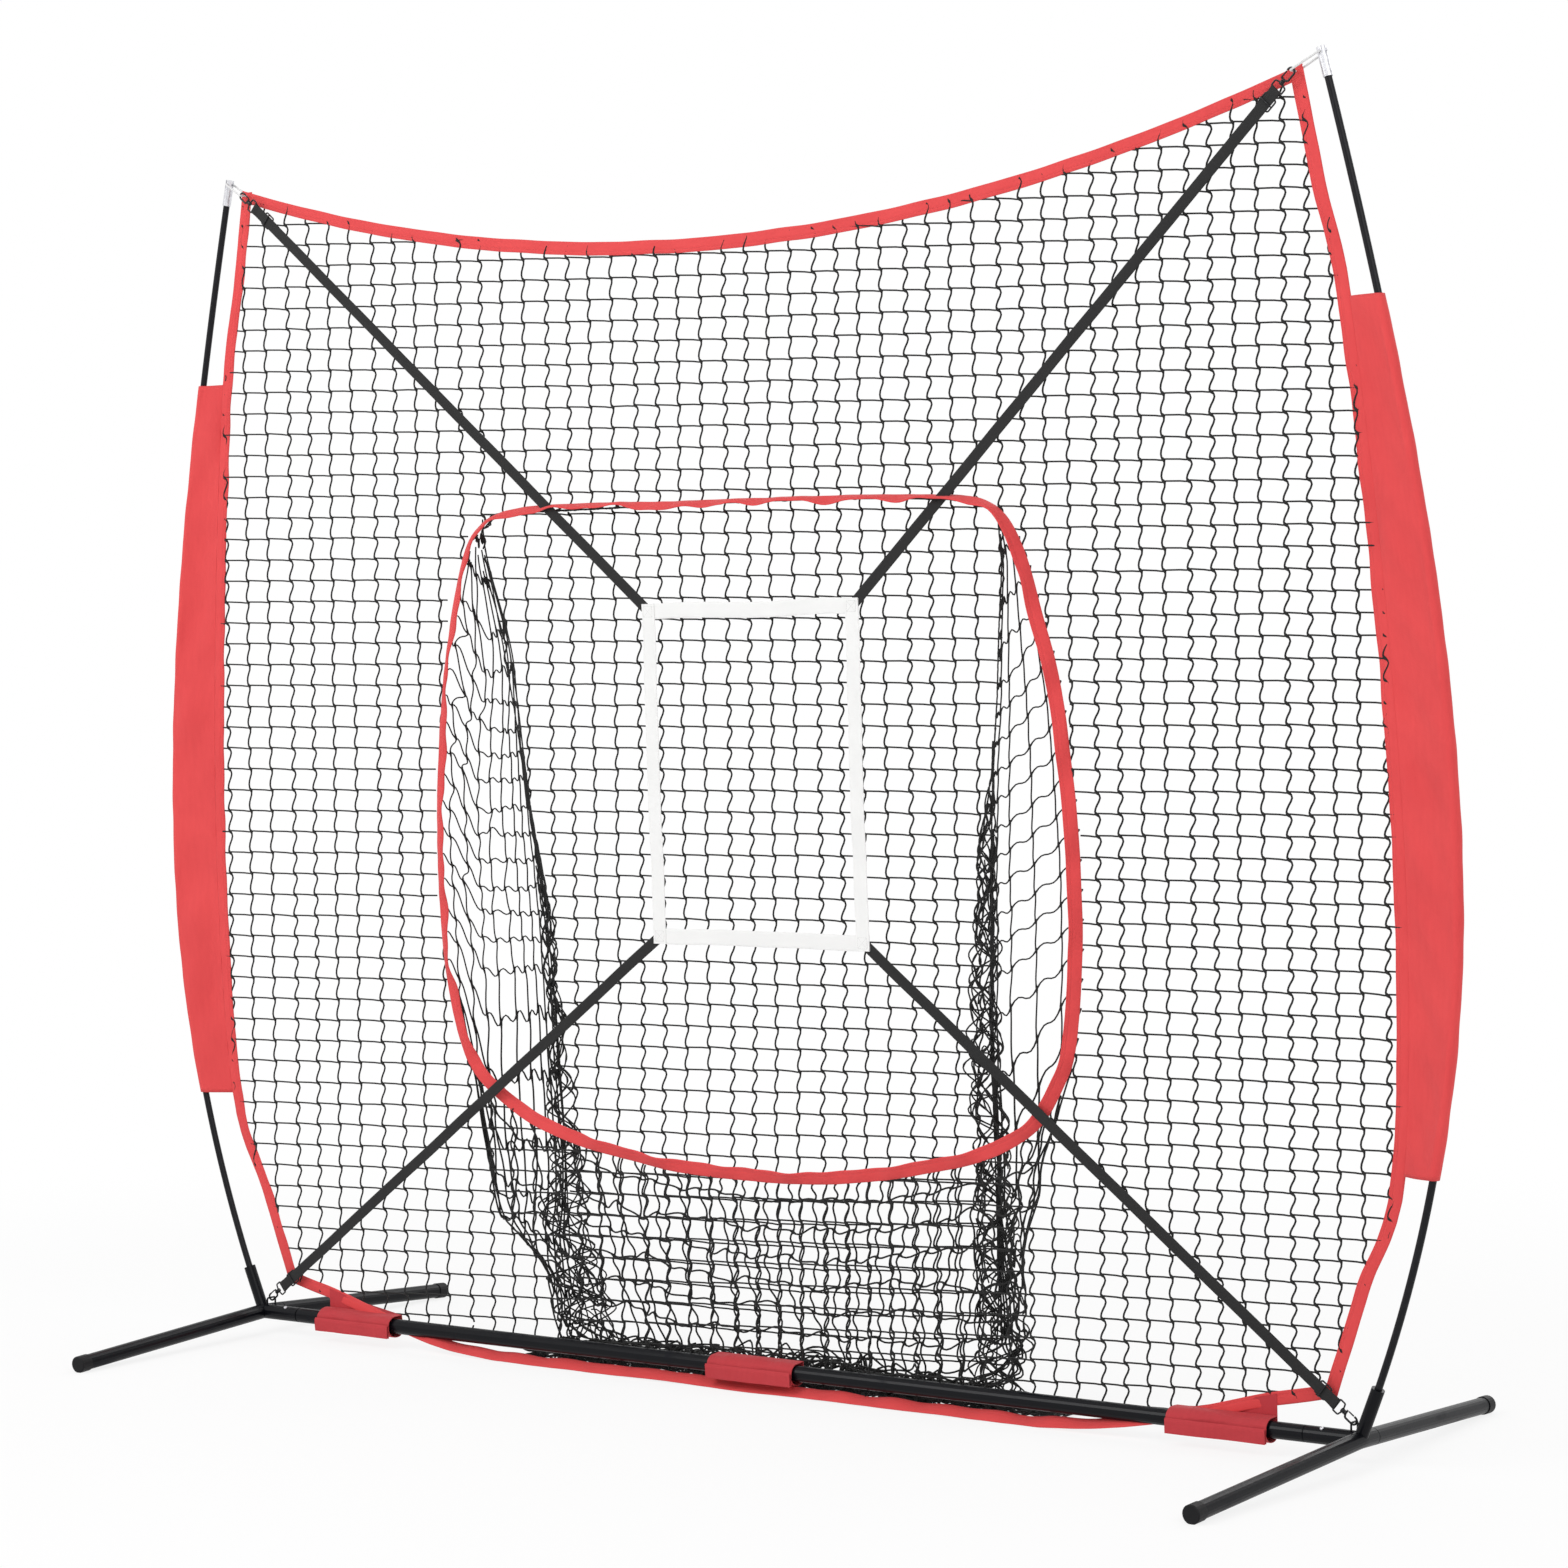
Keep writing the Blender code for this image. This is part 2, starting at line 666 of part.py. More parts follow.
def end_cap(name, side, way):
    """A cup over a leg's end, with a flat sole."""
    out = leg_way(side, way)
    inner = TUBE_R + CAP_PLAY
    profile = [(0, 0), (CAP_R - CAP_EDGE, 0), (CAP_R, -CAP_EDGE), (CAP_R, -CAP_LEN), (inner, -CAP_LEN),
               (inner, -CAP_END + SEAT), (0, -CAP_END + SEAT)]
    cap = turned(name, profile, PLASTIC, place=aim(leg_end(side, way), out))
    x, y = side * HUB_X, way * LEG_REACH
    below = box(name + "_sole", (x - 2 * CAP_D, y - 2 * CAP_D, -CAP_D), (x + 2 * CAP_D, y + 2 * CAP_D, 0))
    return cut(cap, below)


# ---- Spring buttons ------------------------------------------------------------------------------

def button_seat(side):
    """The point on the bar's axis under a button."""
    return Vector((side * (HUB_X - BUTTON_INSET), 0, HUB_Z))


def button_way():
    angle = math.radians(BUTTON_ANGLE)
    return Vector((0, -math.cos(angle), math.sin(angle)))


def snap_button(name, side):
    top = TUBE_R + BUTTON_PROUD
    radius = BUTTON_D / 2
    flange_top = SWAGE_BORE_R * math.cos(math.pi / ROUND) - SEAT - BUTTON_FLANGE_D ** 2 / 8 / SWAGE_BORE_R
    flange_foot = flange_top - BUTTON_FLANGE
    dome = [(radius * math.sin(a), top - radius * (1 - math.cos(a)) * BUTTON_DOME) for a in
            (0, math.pi / 6, math.pi / 3, math.pi / 2)]
    profile = dome + [(radius, flange_top), (BUTTON_FLANGE_D / 2, flange_top),
                      (BUTTON_FLANGE_D / 2, flange_foot), (0, flange_foot)]
    place = aim(button_seat(side), button_way(), Vector((1, 0, 0)))
    return turned(name, profile, ZINC, 12, place=place), flange_foot


def button_spring(name, side, button_foot):
    """A folded leaf spring that pushes the button out through both tubes."""
    upper = button_foot - SEAT - SPRING_T / 2
    lower = -math.sqrt((SWAGE_BORE_R * math.cos(math.pi / ROUND)) ** 2 - (SPRING_WIDTH / 2) ** 2) + SEAT + SPRING_T
    near = side * BUTTON_FLANGE_D / 2
    far = -side * SPRING_REACH
    fold = (upper - lower - SPRING_FLAT) / 2
    path = rounded([(near, upper, 0), (far, upper, 0), (far, lower, 0), (near, lower, 0)], fold)
    up = button_way()
    x = Vector((1, 0, 0))
    turn = Matrix((x, up, x.cross(up))).transposed().to_4x4()
    place = Matrix.Translation(button_seat(side)) @ turn
    return band(name, [(spot.x, spot.y) for spot in path], SPRING_WIDTH, SPRING_T, STEEL, place=place)


# ---- Bow poles -----------------------------------------------------------------------------------

def pole_sections(side_name, side):
    socket_floor = pole_at(side, HUB_Z) + pole_way(side, HUB_Z + SOCKET_LEN / 2) * (
        SOCKET_LEN - SOCKET_DEPTH + SEAT)
    foot = socket_floor.z
    lower = pole_run(side, foot + POLE_STRAIGHT, POLE_SPLIT_Z - SEAT / 2)
    wire("pole_lower_" + side_name, [socket_floor, *lower], POLE_R, FIBREGLASS, SMALL_ROUND + 2)
    tip_way = pole_way(side, POLE_TOP_Z - TIP_LEN)
    top = pole_at(side, POLE_TOP_Z) - tip_way * (TIP_LEN - TIP_CUP + SEAT)
    cup_mouth = pole_at(side, POLE_TOP_Z) - tip_way * (TIP_LEN + TIP_BEFORE)
    upper = pole_run(side, POLE_SPLIT_Z + SEAT / 2, cup_mouth.z - TIP_EASE)
    wire("pole_upper_" + side_name, [*upper, cup_mouth, top], POLE_R, FIBREGLASS, SMALL_ROUND + 2)


def pole_ferrule(name, side):
    """A steel sleeve over the joint of the two sections, bent a little with them."""
    half = FERRULE_LEN / 2
    spots = [pole_at(side, POLE_SPLIT_Z + half * share) for share in (-1, -0.5, 0, 0.5, 1)]
    ferrule = wire(name, spots, FERRULE_D / 2, ZINC, SMALL_ROUND + 4)
    beyond = [pole_at(side, POLE_SPLIT_Z + half * share) for share in (-1.2, -0.5, 0, 0.5, 1.2)]
    return cut(ferrule, wire(name + "_bore", beyond, HOLE_R, None, SMALL_ROUND + 4))


def tip_place(side):
    """At the middle of a tip's top, Z along the pole and X across its slot."""
    way = pole_way(side, POLE_TOP_Z - TIP_LEN)
    return aim(pole_at(side, POLE_TOP_Z), way, Vector((1, 0, 0)))


def pole_tip(name, side):
    """A turned cup on the pole's end. The elastic lies in its crossed slots."""
    radius = TIP_D / 2
    place = tip_place(side)
    tip = turned(name, [(0, 0), (radius, 0), (radius, -TIP_LEN), (HOLE_R, -TIP_LEN), (HOLE_R, -TIP_LEN + TIP_CUP),
                        (0, -TIP_LEN + TIP_CUP)], ZINC, place=place)
    inner = radius - TIP_WALL
    well = turned(name + "_well", [(0, PAST), (inner, PAST), (inner, -TIP_SLOT_DEPTH), (0, -TIP_SLOT_DEPTH)],
                  place=place)
    half, wide = TIP_SLOT / 2, TIP_D
    along = box(name + "_slot_a", (-half, -wide, -TIP_SLOT_DEPTH), (half, wide, PAST), place=place)
    over = box(name + "_slot_b", (-wide, -half, -TIP_SLOT_DEPTH), (wide, half, 2 * PAST), place=place)
    return cut(tip, well, along, over)


# ---- Net, binding and pocket, drawn flat in the net's plane ----------------------------------------

def on_net(offset=0.0):
    """Places a plate in the net's plane, or offset towards the pitcher."""
    return Matrix.Translation((0, -offset, 0)) @ FLAT_ON_NET


def strip_of(outer, inner):
    return list(outer) + list(reversed(inner))


def both_ways(end):
    """Stations from -end to end."""
    half = [x for x in LEVEL_STATIONS[1:] if x < end - NEAR] + [end]
    return [-x for x in reversed(half)] + [0] + half


def top_binding():
    inner_x = meet(under_top, 0, 0)[0]
    outer = [(x, top_edge(x)) for x in both_ways(CORNER_X)]
    inner = [(x, under_top(x)) for x in both_ways(inner_x)]
    holes = []
    for _, side in SIDES:
        x, z = eyelet(side)
        holes.append([(x + EYELET_D / 2 * math.cos(a), z + EYELET_D / 2 * math.sin(a))
                      for a in (math.tau * i / SMALL_ROUND for i in range(SMALL_ROUND))])
    return plate("binding_top", strip_of(outer, inner), TAPE_T, RED_CLOTH, holes, NET, on_net())


def eyelet(side):
    """Where the hook and the elastic meet the net's top corner."""
    return side * (CORNER_X - EYELET), CORNER_Z - EYELET


def hem_binding():
    upper_x = meet(over_hem, 0, 0)[0]
    lower = [(x, hem_edge(x)) for x in both_ways(HEM_HALF)]
    upper = [(x, over_hem(x)) for x in both_ways(upper_x)]
    return plate("binding_hem", strip_of(lower, upper), TAPE_T, RED_CLOTH, (), NET, on_net())


def side_line(inset, gap):
    """The side edge moved in by an inset, from the hem binding up to the top binding."""
    foot, head = meet(over_hem, gap, inset), meet(under_top, -gap, inset)
    between = [(side_edge(z) - inset, z) for z in SIDE_STATIONS if foot[1] + NEAR < z < head[1] - NEAR]
    return [foot, *between, head]


def side_binding(name, side):
    """From the hem to the top binding, along the sleeve's seam."""
    outline = [(side * x, z) for x, z in strip_of(side_line(0, SEAT), side_line(TAPE, SEAT))]
    return plate(name, outline, TAPE_T, RED_CLOTH, (), NET, on_net())


def mouth_binding():
    return plate("binding_mouth", MOUTH_RIM, TAPE_T, RED_CLOTH, (MOUTH_PATH,), NET, on_net())


def net_regions():
    """The outline of each panel of netting, inside the bindings. Each runs clockwise."""
    rim = outset(MOUTH_PATH, TAPE + SEAT)
    edge = PANEL_SPLIT_X - SEAT
    start = PANEL_SPLIT_X + SEAT
    side = side_line(TAPE + SEAT, SEAT)
    outer = [x for x in LEVEL_STATIONS if x > start + NEAR]
    level = both_ways(edge)
    right = [(x, under_top(x) - SEAT) for x in [start] + [x for x in outer if x < side[-1][0] - NEAR]]
    right += reversed(side)
    right += [(x, over_hem(x) + SEAT) for x in reversed([start] + [x for x in outer if x < side[0][0] - NEAR])]
    right += sorted(((x, z) for x, z in rim if x > start), key=lambda spot: spot[1])
    middle = [(x, z) for x, z in rim if abs(x) < edge]
    upper = sorted((spot for spot in middle if spot[1] > PANEL_SPLIT_Z), reverse=True)
    lower = sorted(spot for spot in middle if spot[1] < PANEL_SPLIT_Z)
    top = [(x, under_top(x) - SEAT) for x in level]
    top += [(edge, upper[0][1]), *upper, (-edge, upper[-1][1])]
    bottom = [(x, over_hem(x) + SEAT) for x in reversed(level)]
    bottom += [(-edge, lower[0][1]), *lower, (edge, lower[-1][1])]
    left = [(-x, z) for x, z in reversed(right)]
    return {"right": right, "left": left, "top": top, "bottom": bottom}


def net_panel(name, outline):
    """A flat sheet of strands: the outline less the gaps between them."""
    net = plate(name, outline, STRAND, NETTING, (), NET, on_net())
    gaps = plate(name + "_gaps", outset(outline, -STRAND), 2 * PAST, None, (), NET, on_net())
    return cut(net, boolean(gaps, gap_blocks(name + "_blocks", outline), "INTERSECT"))


def gap_blocks(name, outline):
    """One block for each gap of the netting, over all of an outline."""
    xs, zs = zip(*outline)
    wide, tall = CELL_W - STRAND, CELL_H - STRAND
    bm = bmesh.new()
    for column in range(math.floor(min(xs) / CELL_W), math.ceil(max(xs) / CELL_W) + 1):
        for row in range(math.floor(min(zs) / CELL_H), math.ceil(max(zs) / CELL_H) + 1):
            place = Matrix.Translation((column * CELL_W, 0, (row + 0.5) * CELL_H))
            bmesh.ops.create_cube(bm, size=1.0, matrix=place @ Matrix.Diagonal((wide, PAST, tall, 1.0)))
    return from_bmesh(name, bm, None, NET)


def pocket():
    """A loose bag of netting sewn behind the mouth. Its lower half hangs down to the floor."""
    behind = TAPE_T / 2 + SEAT + POCKET_T / 2
    near, far = outset(MOUTH_PATH, TAPE * 0.25), outset(MOUTH_PATH, TAPE * 0.75)
    sewn, turned_back = [], []
    for (x0, z0), (x1, z1) in zip(near, far):
        share = 0.5 + 0.5 * max(-1.0, min(1.0, (z0 - PANEL_SPLIT_Z) / 0.3))     # 1 in the upper half
        sewn.append(NET_TO_WORLD @ Vector((mixed(x0, x1, share), behind, mixed(z0, z1, share))))
        turned_back.append(NET_TO_WORLD @ Vector((mixed(x1, x0, share), behind + POCKET_TURN, mixed(z1, z0, share))))
    bm = bmesh.new()
    panel = {key: bm.verts.new(spot) for key, spot in pocket_back().items()}
    seam = [panel[key] for key in pocket_rim()]
    rings = [[bm.verts.new(spot) for spot in ring] for ring in (sewn, turned_back)]
    for share in POCKET_STEPS[:-1]:
        rings.append([bm.verts.new(pocket_side_point(start, end.co, share)) for start, end in zip(turned_back, seam)])
    rings.append(seam)
    for first, second in zip(rings, rings[1:]):
        for i in range(len(seam)):
            bm.faces.new((first[i - 1], first[i], second[i], second[i - 1]))
    for column, row in panel:
        if column < POCKET_COLUMNS and (column, row + 1) in panel:
            corners = ((column, row), (column + 1, row), (column + 1, row + 1), (column, row + 1))
            bm.faces.new([panel[corner] for corner in corners])
    open_cells(bm)
    obj = thicken(from_bmesh("pocket", bm, NETTING), POCKET_T)
    obj.modifiers["wall"].use_even_offset = False
    return obj


def open_cells(bm):
    """Opens each face that is large enough, with strands left round it."""
    cells = [face for face in bm.faces if min(edge.calc_length() for edge in face.edges) > POCKET_LEAST]
    for cell in cells:
        outer = list(cell.verts)
        inner = []
        for i, corner in enumerate(outer):
            back = (outer[i - 1].co - corner.co).normalized()
            on = (outer[(i + 1) % len(outer)].co - corner.co).normalized()
            inner.append(bm.verts.new(corner.co + (back + on) * POCKET_STRAND / 2 / math.sin(back.angle(on))))
        for i in range(len(outer)):
            bm.faces.new((outer[i - 1], outer[i], inner[i], inner[i - 1]))
    bmesh.ops.delete(bm, geom=cells, context="FACES_ONLY")


def pocket_back():
    """The crossings of the back panel by (column, row), from its top left corner."""
    rows = len(MOUTH_PATH) // 2 - POCKET_COLUMNS
    top, floor = MOUTH[0][1] - POCKET_TOP_DROP, POCKET_FLOOR + POCKET_T / 2
    spots = {}
    for row in range(rows + 1):
        height = mixed(top, floor, (row / rows) ** POCKET_CLOSER)
        half = read_at(POCKET_SEAM, height)
        for column in range(POCKET_COLUMNS + 1):
            spots[column, row] = pocket_back_at(half * (2 * column / POCKET_COLUMNS - 1), height)
    return spots


def pocket_rim():
    """The panel's crossings along its edge, clockwise from the top middle as the mouth's points run."""
    wide, tall = POCKET_COLUMNS, len(MOUTH_PATH) // 2 - POCKET_COLUMNS
    rim = [(wide // 2 + i, 0) for i in range(wide // 2)] + [(wide, j) for j in range(tall)]
    rim += [(wide - i, tall) for i in range(wide)] + [(0, tall - j) for j in range(tall)]
    return rim + [(i, 0) for i in range(wide // 2)]


def pocket_back_at(x, height):
    for (low, y_low), (high, y_high) in zip(POCKET_BACK, POCKET_BACK[1:]):
        if height <= high or high == POCKET_BACK[-1][0]:
            return Vector((x, mixed(y_low, y_high, (height - low) / (high - low)), height))


def pocket_side_point(start, end, share):
    """A point between the mouth and the back seam. In the middle the bag drops first and goes back afterwards."""
    inner, outer = POCKET_CORNER
    hangs = min(1.0, max(0.0, (outer - abs(start.x)) / (outer - inner))) * (start.z < PANEL_SPLIT_Z)
    away = share ** mixed(1.0, POCKET_LATE, hangs)
    drop = min(1.0, mixed(1.0, 1 / POCKET_STEPS[-2], hangs) * share)
    return Vector((mixed(start.x, end.x, share), mixed(start.y, end.y, away), mixed(start.z, end.z, drop)))


def sleeve(name, side):
    """A flat tube of cloth round the pole, sewn to the side binding along one edge."""
    inner = FERRULE_D / 2 + SLEEVE_EASE
    radius = inner + SLEEVE_WALL
    back = NET_TO_WORLD.to_3x3() @ Vector((0, SLEEVE_EDGE_T / 2, 0))
    rings = []
    for height in SLEEVE_STATIONS:
        seam = NET_TO_WORLD @ Vector((side * (side_edge(height) + SEAT), 0, height))
        pole = pole_at(side, seam.z)
        out = Vector((pole.x - seam.x, pole.y - seam.y, 0)).normalized()
        across = Vector((-out.y, out.x, 0))
        edge = back * side
        ring = [seam + edge, mixed(seam + edge, pole + across * radius, 0.5) - across * SLEEVE_HOLLOW]
        for degrees in (95, 65, 30, 0, -30, -65, -95):
            angle = math.radians(degrees)
            ring.append(pole + out * radius * math.cos(angle) + across * radius * math.sin(angle))
        ring += [mixed(seam - edge, pole - across * radius, 0.5) + across * SLEEVE_HOLLOW, seam - edge]
        rings.append(ring)
    bm = bmesh.new()
    rows = [[bm.verts.new(spot) for spot in ring] for ring in rings]
    for low, high in zip(rows, rows[1:]):
        for i in range(len(low)):
            j = (i + 1) % len(low)
            bm.faces.new((low[i], low[j], high[j], high[i]))
    return thicken(from_bmesh(name, bm, RED_CLOTH), SLEEVE_WALL, -1.0)


# ---- Flaps round the base bar --------------------------------------------------------------------

def flap(name, x):
    """A cloth loop sewn to the hem, and the outer flap that closes over it."""
    def behind(height):
        return net_y(height) - STRAND / 2 - SEAT - FLAP_T / 2

    reach = TUBE_R + FLAP_ROOM
    top = HUB_Z + TUBE_R + FLAP_RISE
    loop_top = max(top, over_hem(x) - FLAP_RISE)
    low = behind(HUB_Z)
    hinge = Vector((x, behind(top) - FLAP_T / 2 - 2 * SEAT, top))
    loop = [(behind(loop_top), loop_top), (low, HUB_Z), (low - 0.0012, HUB_Z - 0.0130),
            (low - 0.0080, HUB_Z - reach - 0.0004), (0, HUB_Z - reach - 0.0010),
            (-0.0095, HUB_Z - reach + 0.0015), (-reach + 0.0010, HUB_Z - 0.0080), (-reach + 0.0006, HUB_Z + 0.0020)]
    wrap = [(hinge.y, hinge.z), (0.0030, hinge.z + 0.0016), (-0.0080, hinge.z), (-0.0168, hinge.z - 0.0065),
            (-reach - 0.0014, HUB_Z + 0.0030), (-reach - 0.0020, HUB_Z - 0.0080), (-reach - 0.0014, HUB_Z - 0.0190)]
    across = Matrix(((0, 0, 1, 0), (1, 0, 0, 0), (0, 1, 0, 0), (0, 0, 0, 1)))     # path X and Y become Y and Z
    band("flap_loop_" + name, loop, FLAP_WIDTH, FLAP_T, RED_CLOTH, place=Matrix.Translation((x, 0, 0)) @ across)
    local = [(y - hinge.y, z - hinge.z) for y, z in wrap]
    band("flap_" + name, local, FLAP_WIDTH, FLAP_T, RED_CLOTH, place=Matrix.Translation(hinge) @ across)


# ---- Strike zone and straps ------------------------------------------------------------------------

def strike_zone():
    """A rectangle of webbing, level with the height that a strike crosses."""
    def rectangle(grow):
        half_w, half_h = ZONE_W / 2 + grow, ZONE_H / 2 + grow
        return [(ZONE_X + a * half_w, ZONE_Z + b * half_h) for a, b in ((-1, -1), (1, -1), (1, 1), (-1, 1))]

    return plate("strike_zone", rectangle(ZONE_BAND / 2), ZONE_T, WHITE_WEBBING, (rectangle(-ZONE_BAND / 2),),
                 NET, on_net(ZONE_OFF))


def strap_anchor(level, side):
    """Where a strap's hook holds on, in the net's own axes."""
    if level == "top":
        x, z = eyelet(side)
        return Vector((x, -STRAP_OFF, z))
    lug_y = (NET_TO_WORLD @ Vector((0, -STRAP_OFF, LUG_Z))).y
    spot = NET_TO_WORLD.inverted() @ Vector((side * LUG_X, lug_y, LUG_Z))
    spot.y = -STRAP_OFF
    return spot


def strap_set(level, side_name, side):
    """One strap, its glide, its swivel hook and the hook's gate, in axes along the strap."""
    name = level + "_" + side_name
    up = 1 if level == "top" else -1
    start = Vector((ZONE_X + side * ZONE_W / 2, -STRAP_OFF, ZONE_Z + up * ZONE_H / 2))
    anchor = strap_anchor(level, side)
    held = ELASTIC_D / 2 if level == "top" else LUG_WIRE / 2
    bite = HOOK_REACH + HOOK_HALF - HOOK_WIRE / 2 - BITE - held
    along = (anchor - start).normalized()
    swivel = anchor - along * bite
    front = Vector((0, -1, 0))
    across = front.cross(along)
    frame = Matrix((along, across, front)).transposed().to_4x4()
    axes = empty("strap_axes_" + name, Matrix.Translation(swivel) @ frame, NET)
    length = (swivel - start).length
    strap(name, axes, length)
    glide(name, axes)
    hook(name, axes, side)


def strap(name, axes, length):
    """Webbing sewn round the swivel's eye, which is fused to it here with its barrel."""
    eye_far = -SEAT - BARREL_LEN - EYE_L
    half = EYE_W / 2 - EYE_WIRE / 2
    web = box("strap_" + name, (-length, -STRAP_W / 2, -STRAP_T / 2), (eye_far, STRAP_W / 2, STRAP_T / 2),
              BLACK_WEBBING, axes)
    fold = rod("fold_" + name, (eye_far, -STRAP_W / 2, 0), (eye_far, STRAP_W / 2, 0), EYE_WIRE / 2 + STRAP_T,
               None, SMALL_ROUND, axes)
    inside = -SEAT - BARREL_LEN / 2
    ring = rounded([(inside, 0, 0), (-SEAT - BARREL_LEN, half, 0), (eye_far, half, 0), (eye_far, -half, 0),
                    (-SEAT - BARREL_LEN, -half, 0)], EYE_WIRE * 0.7, 2, closed=True)
    eye = wire("eye_" + name, ring, EYE_WIRE / 2, None, 6, True, axes)
    barrel = rod("barrel_" + name, (-SEAT - BARREL_LEN, 0, 0), (-SEAT, 0, 0), BARREL_D / 2, None, 12, axes)
    bore = rod("barrel_bore_" + name, (-PIN_LEN - SEAT, 0, 0), (PAST, 0, 0), PIN_D / 2 + PIN_PLAY, None, 10, axes)
    return cut(join(web, fold, eye, barrel), bore)


def glide(name, axes):
    """A wire tri-glide: two bars behind the webbing and one in front of it."""
    away = STRAP_T / 2 + SEAT + GLIDE_WIRE / 2
    half = STRAP_W / 2 + 2 * SEAT + GLIDE_WIRE / 2
    reach = GLIDE_L / 2
    place = Matrix.Translation((-SEAT - BARREL_LEN - EYE_L - GLIDE_FROM_EYE[name], 0, 0))
    ring = rounded([(-reach, -half, -away), (reach, -half, -away), (reach, half, -away), (-reach, half, -away)],
                   GLIDE_BEND_R, 2, closed=True)
    frame = wire("glide_" + name, ring, GLIDE_WIRE / 2, BLACK_WIRE, 6, True, axes, place)
    bridge = rounded([(0, -half, -away), (0, -half, away), (0, half, away), (0, half, -away)], GLIDE_BAR_BEND_R, 2)
    middle = wire("glide_bar_" + name, bridge, GLIDE_WIRE / 2 * 0.9, None, 6, False, axes, place)
    return join(frame, middle)


def hook(name, axes, gate_side):
    """A wire snap hook that turns on its pin, and the sprung gate across its mouth."""
    half = HOOK_HALF
    nose = [(HOOK_REACH + half * math.sin(a), -gate_side * half * math.cos(a), 0)
            for a in (math.pi * i / 6 for i in range(7))]
    lip = (HOOK_REACH - HOOK_LIP, gate_side * half, 0)
    neck = (HOOK_NECK, 0, 0)
    shoulder = rounded([neck, (HOOK_SHOULDER, -gate_side * half, 0), nose[0]], HOOK_BEND_R)
    body = wire("snap_hook_" + name, shoulder[:-1] + nose + [lip], HOOK_WIRE / 2, BLACK_WIRE, 8, False, axes)
    collar = rod("hook_collar_" + name, (SEAT, 0, 0), (HOOK_COLLAR, 0, 0), (BARREL_D - SEAT) / 2, None, 12, axes)
    pin = rod("hook_pin_" + name, (-PIN_LEN, 0, 0), (HOOK_NECK, 0, 0), PIN_D / 2, None, 10, axes)
    heel = (GATE_HEEL, gate_side * half, 0)
    ear_end = (GATE_HEEL - GATE_WIRE / 2 - SEAT - HOOK_WIRE / 2, gate_side * half, 0)
    ear = wire("hook_ear_" + name, [neck, ear_end], HOOK_WIRE / 2, None, 8, False, axes)
    join(body, collar, pin, ear)
    end = lip[0] - HOOK_WIRE / 4 - SEAT - GATE_HEEL
    return wire("hook_gate_" + name, [(-GATE_WIRE / 2, 0, 0), (end, 0, 0)], GATE_WIRE / 2, BLACK_WIRE, 8, False,
                axes, Matrix.Translation(heel))


def elastic_loop(name, side):
    """A closed loop of shock cord: through the hook and the corner's eyelet, and over the pole's tip."""
    to_net = NET_TO_WORLD.inverted()
    radius = ELASTIC_D / 2
    slot = tip_place(side) @ Vector((0, 0, -TIP_SLOT_DEPTH + SEAT + radius))
    beside = TIP_D / 2 + 2 * SEAT + radius
    normal = tip_place(side).to_3x3() @ Vector((0, 1, 0))
    if normal.y > 0:
        normal = -normal
    x, z = eyelet(side)
    front = STRAP_OFF + HOOK_WIRE / 2 + ELASTIC_CLEAR + radius
    back = TAPE_T / 2 + BITE + radius
    spots = [Vector((x, -front, z)), to_net @ (slot + normal * beside), to_net @ (slot - normal * beside),
             Vector((x, back, z))]
    return wire(name, rounded(spots, ELASTIC_BEND_R, 3, closed=True), radius, ELASTIC, 8, True, NET)


# ---- Assembly --------------------------------------------------------------------------------------

def build():
    for side_name, side in SIDES:
        foot_weldment("foot_weldment_" + side_name, side)
        rear_leg("rear_leg_" + side_name, side)
        base_bar("base_bar_" + side_name, side)
        end_cap("end_cap_front_" + side_name, side, -1)
        end_cap("end_cap_rear_" + side_name, side, 1)
        _, button_foot = snap_button("snap_button_" + side_name, side)
        button_spring("button_spring_" + side_name, side, button_foot)
        pole_sections(side_name, side)
        pole_ferrule("pole_ferrule_" + side_name, side)
        pole_tip("pole_tip_" + side_name, side)
        side_binding("binding_" + side_name, side)
        sleeve("sleeve_" + side_name, side)
        elastic_loop("elastic_loop_" + side_name, side)
        strap_set("top", side_name, side)
        strap_set("bottom", side_name, side)
    for panel, outline in net_regions().items():
        net_panel("net_" + panel, outline)
    top_binding()
    hem_binding()
    mouth_binding()
    pocket()
    strike_zone()
    for name, x in (("left", -FLAP_X), ("centre", 0.0), ("right", FLAP_X)):
        flap(name, x)


build()
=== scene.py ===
# %% [markdown]
# # A pitching target net, dressed for its picture
#
# The imported model gives every piece of the real net its place: two steel feet, a base bar, two bow poles, a net
# with red binding, a pocket behind its mouth and a white strike zone on four straps. This script keeps those
# places and adds what a plain solid leaves out: knotted thread, sewn cloth, webbing, wire, coated steel and the
# light on them. It starts by loading the imported model as a fixed frame.

# %% Load the frame
import math

import bpy
import numpy as np
from mathutils import Matrix, Vector


